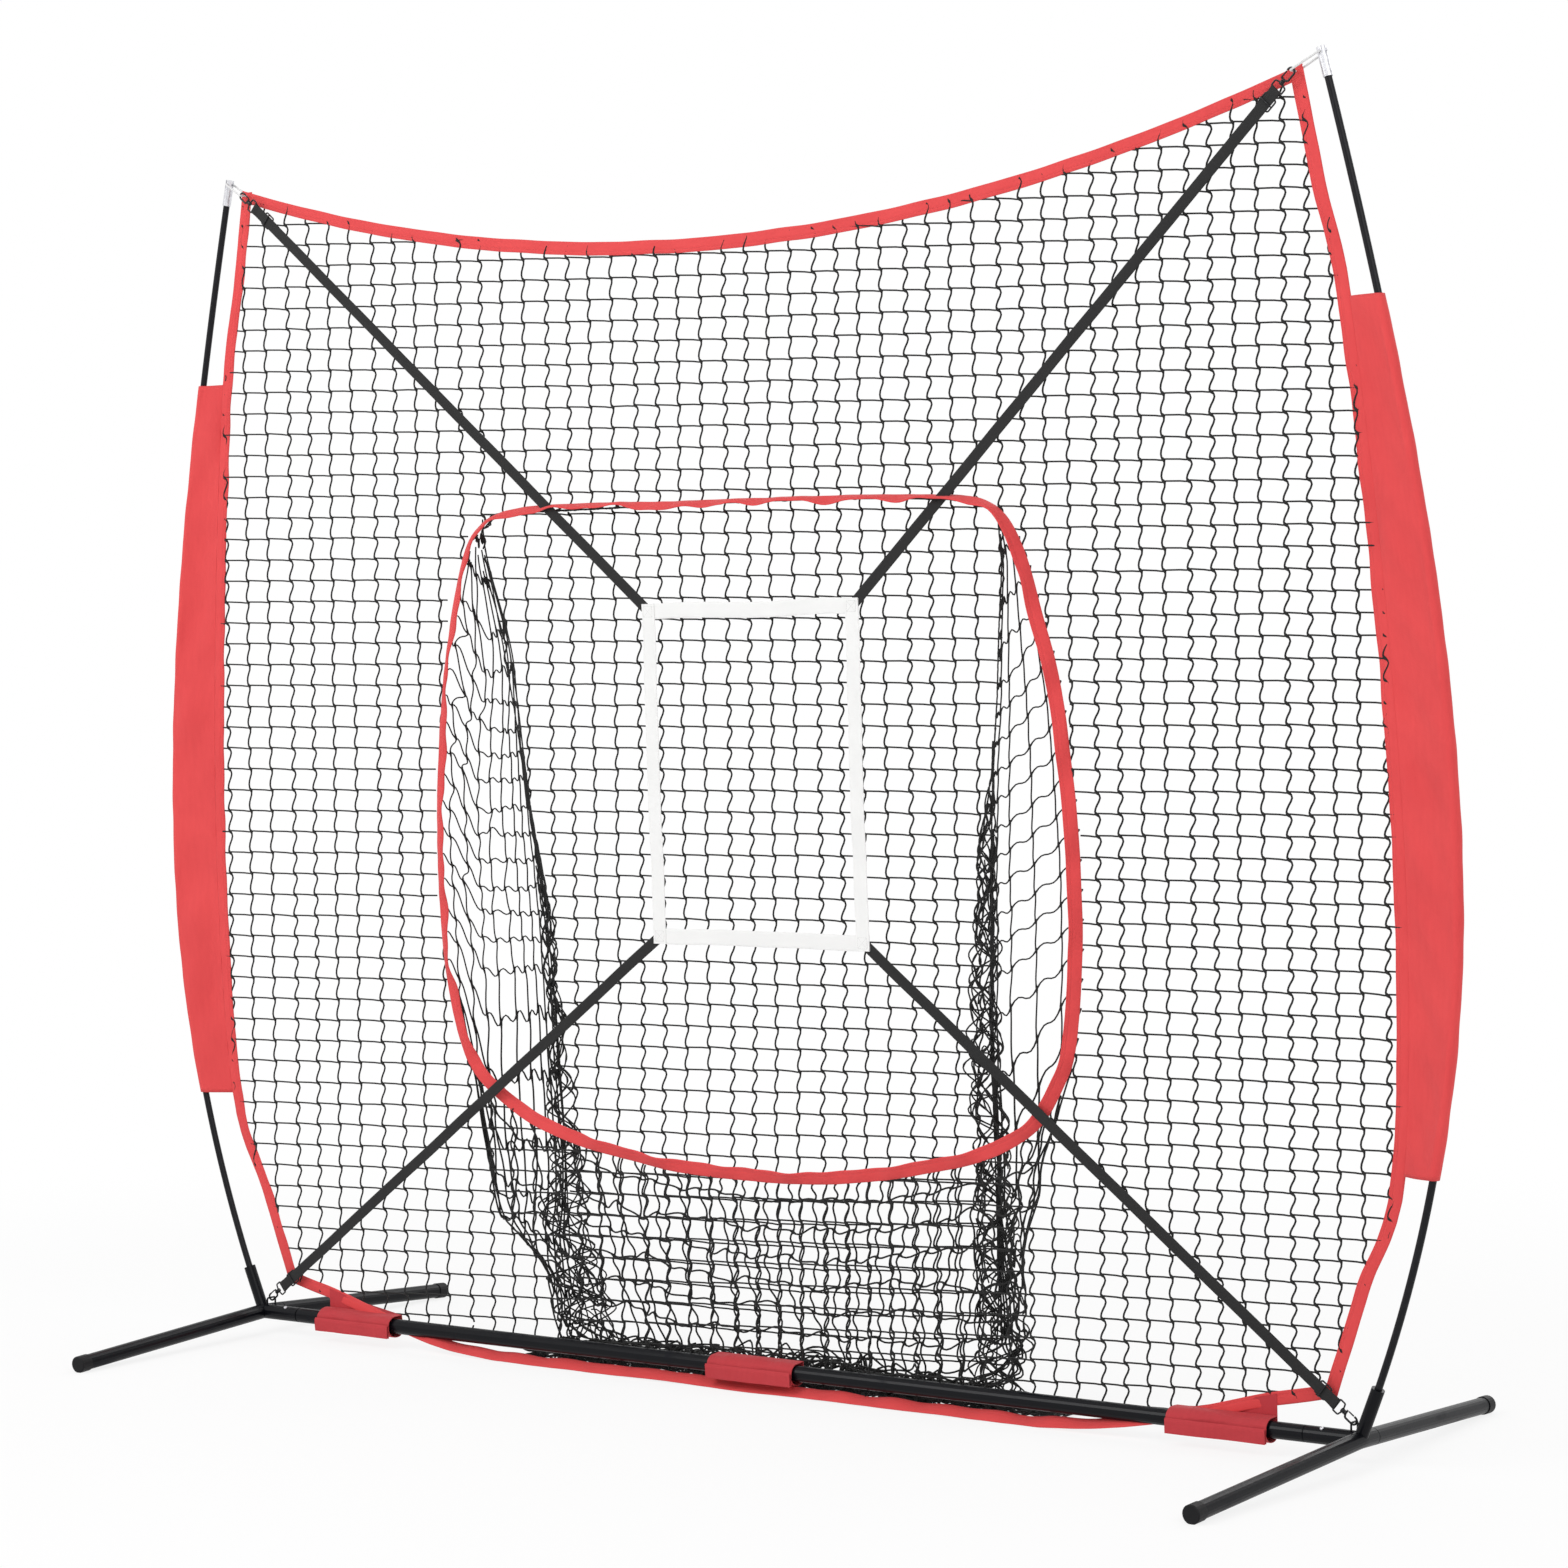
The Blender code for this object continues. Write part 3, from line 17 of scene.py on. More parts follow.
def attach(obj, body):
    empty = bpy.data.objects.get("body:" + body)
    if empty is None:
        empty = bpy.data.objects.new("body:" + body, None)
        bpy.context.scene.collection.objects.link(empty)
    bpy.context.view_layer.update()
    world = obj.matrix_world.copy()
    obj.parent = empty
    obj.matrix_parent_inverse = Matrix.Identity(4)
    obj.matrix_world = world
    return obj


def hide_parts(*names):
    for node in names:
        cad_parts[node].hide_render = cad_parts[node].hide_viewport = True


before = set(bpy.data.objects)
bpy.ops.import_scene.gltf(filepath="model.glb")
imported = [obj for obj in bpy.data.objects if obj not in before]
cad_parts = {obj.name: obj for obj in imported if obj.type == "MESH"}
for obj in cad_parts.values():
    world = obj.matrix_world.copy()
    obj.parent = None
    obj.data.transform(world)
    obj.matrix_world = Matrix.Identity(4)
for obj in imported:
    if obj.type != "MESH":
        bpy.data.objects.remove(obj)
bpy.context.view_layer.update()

# %% [markdown]
# ## Where the net hangs
#
# Most cloth pieces lie in one plane that leans a little forward, from the pole tips down to just behind the
# base bar. On the real net that plane is drawn by the poles and the elastic. A sketch plane could be an empty
# object with children, but plain functions from (x, height, offset) to a point are easier to read and to reuse,
# so they come first. The numbers are those of the solid model, in metres.

# %% The net's plane and its edges
NET_FOOT_Y, NET_LEAN = 0.022, 0.0425
NET_TILT = math.atan(NET_LEAN)
TAPE, TAPE_T = 0.022, 0.0030
CORNER_X, CORNER_Z, TOP_SAG = 1.0210, 1.9900, 0.1580
SIDE_EDGE = np.array(((0.086, 1.0180), (0.250, 1.0760), (0.423, 1.1380), (0.820, 1.1520), (1.250, 1.1300),
                      (1.657, 1.0880), (1.820, 1.0530), (1.990, 1.0210)))
HEM_CLEAR, HEM_RISE, HEM_HALF = 0.0030, 0.0850, 1.0150
MOUTH = ((0.000, 1.396), (0.190, 1.394), (0.370, 1.388), (0.468, 1.376), (0.512, 1.325), (0.542, 1.230),
         (0.573, 1.110), (0.591, 0.950), (0.597, 0.830), (0.594, 0.700), (0.581, 0.590), (0.560, 0.530),
         (0.512, 0.462), (0.418, 0.414), (0.328, 0.392), (0.236, 0.374), (0.142, 0.362), (0.000, 0.357),
         (-0.151, 0.362), (-0.252, 0.376), (-0.351, 0.392), (-0.456, 0.424), (-0.550, 0.484), (-0.584, 0.542),
         (-0.606, 0.640), (-0.616, 0.780), (-0.612, 0.938), (-0.598, 1.073), (-0.574, 1.206), (-0.545, 1.310),
         (-0.512, 1.372), (-0.440, 1.398), (-0.305, 1.401), (-0.150, 1.398))


def on_net(x, height, off=0.0):
    """Points in the world from places on the net's plane. off is towards the pitcher."""
    x, height, off = np.broadcast_arrays(np.asarray(x, float), height, off)
    cos, sin = math.cos(NET_TILT), math.sin(NET_TILT)
    return np.stack([x, NET_FOOT_Y - off * cos - height * sin, height * cos - off * sin], -1)


def through(points, steps, closed=False):
    """A smooth path through the points, as Catmull and Rom drew it."""
    points = np.asarray(points, float)
    if closed:
        around = np.concatenate([points[-1:], points, points[:2]])
    else:
        around = np.concatenate([2 * points[:1] - points[1:2], points, 2 * points[-1:] - points[-2:-1]])
    path = []
    for a, b, c, d in zip(around, around[1:], around[2:], around[3:]):
        for t in np.arange(steps) / steps:
            path.append(0.5 * (2 * b + (c - a) * t + (2 * a - 5 * b + 4 * c - d) * t ** 2
                               + (3 * b - a - 3 * c + d) * t ** 3))
    return np.array(path if closed else path + [points[-1]])


SIDE_PATH = through(SIDE_EDGE, 6)


def side_edge(height):
    return np.interp(height, SIDE_PATH[:, 0], SIDE_PATH[:, 1])


def top_edge(x):
    return CORNER_Z - TOP_SAG * (1 - (x / CORNER_X) ** 2)


def hem_edge(x):
    return HEM_CLEAR + HEM_RISE * np.abs(x / HEM_HALF) ** 3


MOUTH_PATH = through(MOUTH, 6, closed=True)
print(f"the mouth is {np.ptp(MOUTH_PATH[:, 0]):.3f} m wide and {np.ptp(MOUTH_PATH[:, 1]):.3f} m high")

# %% [markdown]
# ## The camera, the floor and the light
#
# The camera stands where the photographer stood: in front, to the right and barely above the middle of the net.
# Its place was solved from the hubs, the leg ends and the pole tips, so only the angles and a point are written
# here. A tracked empty could aim it, but the solved roll would be lost. The floor is one large pale sheet. To a
# camera ray it adds some white of its own, so that it meets the white background without an edge and still
# keeps the shadows.

# %% Camera
IMAGE_SIDE = 1568
FOCAL_PIXELS = 3726.53
AZIMUTH, ELEVATION, ROLL = (math.radians(angle) for angle in (35.4658, 1.2517, -0.5744))
CAMERA_PLACE = (3.4735, -4.7800, 1.0963)

back = Vector((math.sin(AZIMUTH) * math.cos(ELEVATION), -math.cos(AZIMUTH) * math.cos(ELEVATION),
               math.sin(ELEVATION)))
level = Vector((0, 0, 1)).cross(back).normalized()
upright = back.cross(level)
right = math.cos(ROLL) * level + math.sin(ROLL) * upright
up = -math.sin(ROLL) * level + math.cos(ROLL) * upright

camera = bpy.data.objects.new("camera", bpy.data.cameras.new("camera"))
bpy.context.scene.collection.objects.link(camera)
camera.matrix_world = Matrix.Translation(CAMERA_PLACE) @ Matrix((right, up, back)).transposed().to_4x4()
camera.data.sensor_width = 36
camera.data.sensor_fit = "HORIZONTAL"
camera.data.lens = camera.data.sensor_width * FOCAL_PIXELS / IMAGE_SIDE
camera.data.clip_end = 100
bpy.context.scene.camera = camera
bpy.context.scene.view_settings.view_transform = "Standard"
print(f"a lens of {camera.data.lens:.1f} mm, {math.dist(CAMERA_PLACE, (0, 0, 1)):.2f} m from the net")

# %% [markdown]
# ## Shader maths as plain expressions
#
# A material is a small graph of nodes. Drawing it by hand is fine for one material; ten materials in code read
# better when `1 - mask * 0.3` adds the nodes by itself. `Value` wraps one output socket and overloads the
# operators, and `Finish` holds one material, its shader and a single method that adds any other node.

# %% Value
class Value:
    """An output socket that can be reckoned with."""

    def __init__(self, finish, socket):
        self.finish, self.socket = finish, socket

    def math(self, operation, *others):
        return self.finish.node("ShaderNodeMath", {"operation": operation}, dict(enumerate((self, *others))))

    def __add__(self, other):
        return self.math("ADD", other)

    def __sub__(self, other):
        return self.math("SUBTRACT", other)

    def __rsub__(self, other):
        return self.finish.node("ShaderNodeMath", {"operation": "SUBTRACT"}, {0: other, 1: self})

    def __mul__(self, other):
        return self.math("MULTIPLY", other)

    __radd__, __rmul__ = __add__, __mul__

    def beside(self, output):
        """Another output of the same node."""
        return Value(self.finish, self.socket.node.outputs[output])

    def wave(self, length):
        """A sine of this value, from 0 to 1, that repeats after the length."""
        return (self * (math.tau / length)).math("SINE") * 0.5 + 0.5

    def between(self, low, high):
        """0 below low, 1 above high and smooth between them."""
        return self.finish.node("ShaderNodeMapRange", {"interpolation_type": "SMOOTHSTEP"},
                                {"Value": self, "From Min": low, "From Max": high})


# %% Finish
class Finish:
    """One material. Everything on its shader that never changes is a constant on the shader's own socket."""

    def __init__(self, name, slot, **constants):
        self.slot = slot
        self.material = bpy.data.materials.new(name)
        self.material.use_nodes = True
        self.tree = self.material.node_tree
        self.shader = self.tree.nodes["Principled BSDF"]
        for socket, value in constants.items():
            self.shader.inputs[socket.replace("_", " ")].default_value = value

    def node(self, kind, settings=None, inputs=None, output=0):
        """Any node: its settings first, then its inputs, which are numbers, colours or Values."""
        made = self.tree.nodes.new(kind)
        for name, value in (settings or {}).items():
            setattr(made, name, value)
        for name, value in (inputs or {}).items():
            if isinstance(value, Value):
                self.tree.links.new(value.socket, made.inputs[name])
            else:
                made.inputs[name].default_value = value
        return Value(self, made.outputs[output])

    def place(self):
        """Coordinates that stay on the piece: its own, in metres."""
        return self.node("ShaderNodeTexCoord", output="Object")

    def cloth(self):
        """(along, across) in metres, from the piece's UV map."""
        split = self.node("ShaderNodeSeparateXYZ", inputs={0: self.node("ShaderNodeTexCoord", output="UV")})
        return split, split.beside("Y")

    def noise(self, size, detail=2.0, where=None, stretch=None):
        """Soft noise from 0 to 1 with patches of about this size, in metres. stretch scales each axis first."""
        where = where or self.place()
        if stretch:
            where = self.node("ShaderNodeVectorMath", {"operation": "MULTIPLY"}, {0: where, 1: stretch})
        return self.node("ShaderNodeTexNoise", inputs={"Vector": where, "Scale": 1 / size, "Detail": detail})

    def mix(self, share, first, second):
        """A colour between two, which are colours or Values."""
        settings = {"data_type": "RGBA", "clamp_factor": True}
        first, second = ((*c, 1) if isinstance(c, tuple) and len(c) == 3 else c for c in (first, second))
        return self.node("ShaderNodeMix", settings, {0: share, 6: first, 7: second}, output=2)

    def set(self, socket, value):
        self.tree.links.new(value.socket, self.shader.inputs[socket])

    def bump(self, height, depth):
        """Height is a Value from 0 to 1, and depth its real depth in metres."""
        inputs = {"Height": height, "Distance": depth, "Strength": 1.0}
        self.set("Normal", self.node("ShaderNodeBump", inputs=inputs))


def shade(red, green, blue):
    """A colour as a picture shows it, 0 to 255, turned into the light that it reflects."""
    return tuple((c / 255 / 12.92) if c <= 10 else ((c / 255 + 0.055) / 1.055) ** 2.4 for c in (red, green, blue))


print(f"mid grey reflects {shade(128, 128, 128)[0]:.3f} of the light")

# %% [markdown]
# ## Floor, backdrop and lamps
#
# The studio is a floor, a white world and two large soft lamps. The world lights everything evenly, and the
# lamps give the steel its long highlights and the floor a soft shadow. Their strengths are set so that a colour
# renders about as it is written, which keeps the part right under any other light.

# %% Studio
WORLD_STRENGTH = 0.62
FLOOR_SIZE = 30.0

world = bpy.data.worlds.new("studio")
world.use_nodes = True
bpy.context.scene.world = world
sky = world.node_tree
sky.nodes.clear()
path = sky.nodes.new("ShaderNodeLightPath")
seen = sky.nodes.new("ShaderNodeMath")
seen.operation = "MAXIMUM"
sky.links.new(path.outputs["Is Camera Ray"], seen.inputs[0])
seen_too = sky.nodes.new("ShaderNodeMath")
seen_too.operation = "MAXIMUM"
sky.links.new(path.outputs["Is Glossy Ray"], seen.inputs[1])
sky.links.new(seen.outputs[0], seen_too.inputs[0])
sky.links.new(path.outputs["Is Transmission Ray"], seen_too.inputs[1])
lit, shown = sky.nodes.new("ShaderNodeBackground"), sky.nodes.new("ShaderNodeBackground")
chosen = sky.nodes.new("ShaderNodeMixShader")
lit.inputs["Strength"].default_value = WORLD_STRENGTH
shown.inputs["Strength"].default_value = 1.0
for node in (lit, shown):
    node.inputs["Color"].default_value = (1, 1, 1, 1)
sky.links.new(seen_too.outputs[0], chosen.inputs[0])
sky.links.new(lit.outputs[0], chosen.inputs[1])
sky.links.new(shown.outputs[0], chosen.inputs[2])
sky.links.new(chosen.outputs[0], sky.nodes.new("ShaderNodeOutputWorld").inputs["Surface"])

paper = Finish("pale_floor", None, Base_Color=(0.90, 0.90, 0.90, 1), Roughness=0.9, Specular_IOR_Level=0.1)
rays = paper.node("ShaderNodeLightPath", output="Is Camera Ray")
white = paper.node("ShaderNodeEmission", inputs={"Strength": 1.0})
away = paper.node("ShaderNodeVectorMath", {"operation": "LENGTH"}, {0: paper.place()}, output=1).between(1.5, 3.4)
direct = rays.math("MAXIMUM", rays.beside("Is Glossy Ray"))
lit_paper = Value(paper, paper.shader.outputs[0])
blend = paper.node("ShaderNodeMixShader", inputs={0: direct * (away * 0.18 + 0.82), 1: lit_paper, 2: white})
paper.tree.links.new(blend.socket, paper.tree.nodes["Material Output"].inputs["Surface"])

mesh = bpy.data.meshes.new("floor")
half = FLOOR_SIZE / 2
mesh.from_pydata([(-half, -half, 0), (half, -half, 0), (half, half, 0), (-half, half, 0)], [], [(0, 1, 2, 3)])
mesh.materials.append(paper.material)
floor = bpy.data.objects.new("floor", mesh)
bpy.context.scene.collection.objects.link(floor)

for name, place, size, watts in (("key", (-2.2, -4.2, 4.4), 3.0, 150), ("fill", (4.6, -2.6, 3.2), 3.5, 70),
                                 ("rear", (0.5, 4.5, 3.6), 3.0, 60)):
    lamp = bpy.data.objects.new(name, bpy.data.lights.new(name, "AREA"))
    bpy.context.scene.collection.objects.link(lamp)
    lamp.data.size, lamp.data.energy = size, watts
    lamp.location = place
    lamp.rotation_euler = (Vector(place) - Vector((0, 0, 0.9))).to_track_quat("Z", "Y").to_euler()
print(f"world at {WORLD_STRENGTH}, {len(bpy.data.lights)} lamps")

# %% [markdown]
# ## Steel, fibreglass, plastic, zinc and wire
#
# These pieces keep their solids where the solids are right, so their finishes take coordinates from the piece
# itself, not from a UV map. Each real surface has a tell: coated steel has the faint waviness of baked powder
# and picks up scuffs, pultruded fibreglass has long fibres under its skin, moulded plastic has fine spark
# texture, and turned zinc shows the tool's rings. Flat colours would miss all of them.

# %% Hard finishes
steel = Finish("black_coated_steel", "steel", Metallic=0.0, Coat_Roughness=0.12, IOR=1.45, Specular_IOR_Level=0.1)
scuffs = steel.noise(0.03, 6.0, stretch=(1, 0.25, 1)).between(0.56, 0.74)
steel.set("Base Color", steel.mix(scuffs * 0.5, shade(9, 10, 15), shade(26, 27, 32)))
steel.set("Roughness", 0.34 + scuffs * 0.22 + steel.noise(0.006) * 0.06)
steel.set("Coat Weight", 0.13 - scuffs * 0.1)
steel.bump(steel.noise(0.0022, 3.0), 0.00012)

zinc = Finish("bright_zinc", "zinc", Metallic=1.0, IOR=1.5)
stain = zinc.noise(0.008, 4.0)
zinc.set("Base Color", zinc.mix(stain.between(0.4, 0.75) * 0.6, shade(222, 222, 226), shade(150, 150, 156)))
zinc.set("Roughness", 0.18 + stain * 0.22)
zinc.bump(zinc.noise(0.0009, 2.0, stretch=(0.15, 0.15, 1)), 0.00008)

fibreglass = Finish("black_fibreglass", "fibreglass", IOR=1.5, Specular_IOR_Level=0.2)
fibres = fibreglass.noise(0.0011, 2.0, stretch=(1, 1, 0.02))
fibreglass.set("Base Color", fibreglass.mix(fibres.between(0.45, 0.8), shade(13, 13, 17), shade(30, 30, 36)))
fibreglass.set("Roughness", 0.24 + fibres * 0.2)
fibreglass.bump(fibres, 0.00006)

plastic = Finish("black_plastic", "plastic", IOR=1.46, Specular_IOR_Level=0.2)
plastic.set("Base Color", plastic.mix(plastic.noise(0.02), shade(14, 14, 16), shade(26, 26, 28)))
plastic.set("Roughness", 0.42 + plastic.noise(0.004) * 0.2)
plastic.bump(plastic.noise(0.0008, 1.0), 0.00008)

wire = Finish("black_wire", "black_wire", Metallic=0.55, IOR=1.5)
worn = wire.noise(0.004, 4.0).between(0.6, 0.75)
wire.set("Base Color", wire.mix(worn * 0.6, shade(34, 34, 36), shade(96, 96, 100)))
wire.set("Roughness", 0.28 + worn * 0.2)
wire.bump(wire.noise(0.0006), 0.00003)
print("hard finishes:", ", ".join(finish.material.name for finish in (steel, zinc, fibreglass, plastic, wire)))

# %% [markdown]
# ## Cloth, thread, webbing and elastic
#
# Soft pieces are drawn with UV maps in metres, so a weave has its real size wherever the piece bends. The red
# cloth is a coated Oxford weave: square cells of about 0.6 mm, crossed by slightly heavier yarns. Thread is two
# plies twisted together, webbing is a coarse ribbed weave with finer edges, and elastic is braided. Each is a
# product of two waves that feeds the bump and, weakly, the colour and the roughness.

# %% Soft finishes
def woven(name, slot, light, dark, pitch, depth, roughness, sheen=0.25, stain_size=0.12):
    """Plain weave: the yarns along and across rise in turn."""
    finish = Finish(name, slot, Sheen_Weight=sheen, Sheen_Roughness=0.5, Specular_IOR_Level=0.3)
    along, across = finish.cloth()
    warp, weft = along.wave(pitch), across.wave(pitch)
    yarns = warp * weft + (1 - warp) * (1 - weft)
    slub = finish.noise(pitch * 9, 2.0, finish.node("ShaderNodeTexCoord", output="UV"), (0.3, 1.6, 1))
    stain = finish.noise(stain_size, 4.0)
    tone = yarns * 0.35 + slub * 0.25 + stain * 0.55 - 0.1
    finish.set("Base Color", finish.mix(tone, dark, light))
    finish.set("Roughness", roughness + (1 - yarns) * 0.12 - slub * 0.05)
    finish.bump(yarns * 0.8 + slub * 0.2, depth)
    return finish


OXFORD, WEBBING = (0.0012, 0.00018), (0.0024, 0.0004)      # the width of two yarns, and how deep the weave is
red = woven("red_oxford_cloth", "red_cloth", shade(236, 80, 80), shade(204, 56, 60), *OXFORD, 0.66, sheen=0.10)
# The flaps are the same red cloth in darker colours: painted shade, for the less light that reaches them.
shaded_flap_red = woven("red_cloth_painted_shade", "red_cloth", shade(208, 66, 72), shade(170, 44, 52), *OXFORD, 0.70, sheen=0.06)
white_web = woven("white_webbing", "white_webbing", shade(247, 247, 246), shade(230, 230, 229), *WEBBING, 0.70)
black_web = woven("black_webbing", "black_webbing", shade(40, 40, 40), shade(20, 20, 21), *WEBBING, 0.74,
                  sheen=0.08)

thread = Finish("black_netting", "netting", Specular_IOR_Level=0.25, Sheen_Weight=0.08)
along, across = thread.cloth()
twist = (along + across * 1.1).wave(0.0042)
dust = thread.noise(0.25, 3.0)
thread.set("Base Color", thread.mix(twist * 0.6 + dust * 0.5 - 0.1, shade(20, 20, 20), shade(40, 40, 40)))
thread.set("Roughness", 0.72 + twist * 0.1)
thread.bump(twist, 0.0004)

elastic = Finish("white_elastic", "elastic", Specular_IOR_Level=0.3, Sheen_Weight=0.2)
along, across = elastic.cloth()
braid = (along + across * 0.8).wave(0.0021) * (along - across * 0.8).wave(0.0021)
elastic.set("Base Color", elastic.mix(braid.between(0.05, 0.5), shade(206, 206, 206), shade(246, 246, 246)))
elastic.set("Roughness", 0.75 - braid * 0.15)
elastic.bump(braid, 0.0003)
print("soft finishes:", ", ".join(f.material.name for f in (red, shaded_flap_red, white_web, black_web, thread, elastic)))

# %% [markdown]
# ## From rows of points to a piece
#
# Nearly everything here is a lattice: rows of points, joined into quads. A thread is a lattice wrapped round, a
# tape is a flattened thread, and a sleeve is a wide one. Blender's curves with a bevel could draw them one at a
# time, but a net has tens of thousands of cells, so `Shape` gathers lattices with numpy and becomes one mesh at
# the end. It also keeps a UV map in metres, which the soft finishes need.

# %% Shape
FRONT = np.array((0.0, -math.cos(NET_TILT), -math.sin(NET_TILT)))
SHARP_FROM = math.radians(50)


class Shape:
    """Lattices that become one piece."""

    def __init__(self):
        self.points, self.faces, self.cloth, self.count = [], [], [], 0

    def lattice(self, points, along, across, around=False, ring=False, caps=False):
        """Adds rows of points. around joins the last column to the first, and ring the last row to the first."""
        rows, columns = points.shape[:2]
        index = self.count + np.arange(rows * columns).reshape(rows, columns)
        self.count += rows * columns
        self.points.append(points.reshape(-1, 3))
        if around:
            index = np.concatenate([index, index[:, :1]], 1)
        if ring:
            index = np.concatenate([index, index[:1]], 0)
        u, v = np.meshgrid(along, across, indexing="ij")
        corners = [(slice(None, -1), slice(None, -1)), (slice(None, -1), slice(1, None)),
                   (slice(1, None), slice(1, None)), (slice(1, None), slice(None, -1))]
        self.faces += np.stack([index[c] for c in corners], -1).reshape(-1, 4).tolist()
        self.cloth.append(np.stack([np.stack([u[c], v[c]], -1) for c in corners], -2).reshape(-1, 2))
        if caps:
            for row, order in ((0, slice(columns - 1, None, -1)), (-1, slice(0, columns))):
                self.faces.append(index[row, :columns][order].tolist())
                self.cloth.append(np.stack([u[row, :columns], v[row, :columns]], -1)[order])
        return self

    def sweep(self, path, section, up, ring=False, caps=True, swell=1.0):
        """A section of (across, up) points carried along a path. swell scales it at each row."""
        path, section = np.asarray(path, float), np.asarray(section, float)
        ahead = np.roll(path, -1, 0) - np.roll(path, 1, 0) if ring else np.gradient(path, axis=0)
        ahead /= np.linalg.norm(ahead, axis=1, keepdims=True)
        rise = np.broadcast_to(np.asarray(up, float), ahead.shape)
        rise = rise - ahead * (rise * ahead).sum(1, keepdims=True)
        rise /= np.linalg.norm(rise, axis=1, keepdims=True)
        across = np.cross(rise, ahead)
        swell = np.broadcast_to(swell, len(path)).reshape(-1, 1, 1)
        spread = across[:, None] * section[None, :, :1] + rise[:, None] * section[None, :, 1:]
        points = path[:, None] + swell * spread
        loop = np.concatenate([path, path[:1]]) if ring else path
        along = np.concatenate([[0], np.cumsum(np.linalg.norm(np.diff(loop, axis=0), axis=1))])
        edge = np.concatenate([section, section[:1]])
        around = np.concatenate([[0], np.cumsum(np.linalg.norm(np.diff(edge, axis=0), axis=1))])
        return self.lattice(points, along, around, around=True, ring=ring, caps=caps and not ring)

    def piece(self, name, finish, body="frame", stands_for=()):
        """The mesh object. It rides on a body, takes its finish's material and stands for CAD nodes."""
        mesh = bpy.data.meshes.new(name)
        mesh.from_pydata(np.concatenate(self.points), [], self.faces)
        mesh.uv_layers.new(name="cloth").data.foreach_set("uv", np.concatenate(self.cloth).ravel())
        mesh.materials.append(finish.material)
        mesh.shade_smooth()
        mesh.set_sharp_from_angle(angle=SHARP_FROM)
        obj = bpy.data.objects.new(name, mesh)
        bpy.context.scene.collection.objects.link(obj)
        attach(obj, body)
        if stands_for:
            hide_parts(*stands_for)
        print(f"{name}: {len(self.faces)} faces")
        return obj


# %% Sections and smooth changes
def circle(radius, sides):
    """A round section, drawn so that its faces look outwards."""
    turn = math.tau * np.arange(sides) / sides
    return radius * np.stack([np.cos(turn), np.sin(turn)], -1)


def flat_section(wide, thick, steps=2):
    """A section of webbing or cloth: flat, with rounded edges."""
    half, t = wide / 2, thick / 2
    across = np.linspace(-half + t, half - t, steps + 1)
    edge = [(half - t * 0.3, -t * 0.7), (half, 0), (half - t * 0.3, t * 0.7)]
    return np.array([(x, -t) for x in across] + edge + [(x, t) for x in across[::-1]]
                    + [(-x, -y) for x, y in edge])


def mix(first, second, share):
    """A share of the way from the first to the second."""
    return first + (second - first) * share


def ease(low, high, value):
    """0 below low, 1 above high and smooth between them."""
    share = np.clip((np.asarray(value, float) - low) / (high - low), 0, 1)
    return share * share * (3 - 2 * share)


def ripple(seed, *places, count=5, size=1.0):
    """A smooth random wave over one or more coordinates, about -1 to 1. size is the shortest wave's length."""
    rng = np.random.default_rng(seed)
    total = 0.0
    for _ in range(count):
        reach = size * (1 + 2.5 * rng.random())
        turn = rng.random() * math.tau
        pull = rng.normal(size=len(places))
        pull /= np.linalg.norm(pull)
        total = total + np.sin(sum(p * w for p, w in zip(places, pull)) * math.tau / reach + turn)
    return total / math.sqrt(count) / 1.2


print(f"a thread's section has {len(circle(1, 6))} points, a tape's {len(flat_section(0.02, 0.002))}")

# %% [markdown]
# ## The flat netting
#
# The net is machine-knitted: chains of loops run up and down, and a straight thread is laid in across them.
# Pulled sideways by the poles, each chain hooks right below a crossing and swings left above the next one, in
# pairs that bow and pairs that hook. A wave texture with an alpha mask could fake it from afar, but the thread
# has to be there from every side, so every thread is a thin swept tube, swollen where it is knotted. The net is
# also pulled wider on its left, so in the picture its cells look nearly alike. So each knot lies between two
# places: one from even steps on the cloth, and one from even steps in the picture, found along the camera's
# line of sight.

# %% Threads of the net
CHAIN_R, LAID_R, THREAD_SIDES = 0.00160, 0.00142, 5
COLUMN, ROW = 0.0436, 0.0339
PICTURE_STEP, PICTURE_KNOT, PICTURE_SHARE = (22.52, -21.53), (706.2, 790.98), 0.65
SWAY_AT = np.array((0.0, 0.05, 0.12, 0.24, 0.40, 0.58, 0.74, 0.88, 0.95))      # share of the way down a cell
BOWED = np.array((0.0, 0.0008, 0.0012, 0.0009, -0.0014, -0.0036, -0.0043, -0.0034, -0.0014))
HOOKED = np.array((0.0, 0.0026, 0.0052, 0.0064, 0.0046, 0.0012, -0.0012, -0.0021, -0.0008))
SWAY_BY_COLUMN = (BOWED, HOOKED, HOOKED, BOWED)
SHIFT_BY_COLUMN = (0.0006, 0.0008, -0.0006, 0.0010)
KNOT = (1.70, 1.45)      # how much thicker a crossing is, and the thread just beside it
LAID_KNOT = 1.4
UNEVEN = (0.0005, 0.0004)      # how far knots stray to the side and up, in metres
LEVEL_AT = np.array((0.0, 0.08, 0.30, 0.65, 0.90))
LEVEL_DROP = np.array((0.0, 0.0009, 0.0006, 0.0002, -0.0008))
CAMERA_AXES = np.array((right, up, back))
print(f"a cell is about {COLUMN * 1000:.0f} by {ROW * 1000:.0f} mm, its thread {CHAIN_R * 2000:.1f} mm")


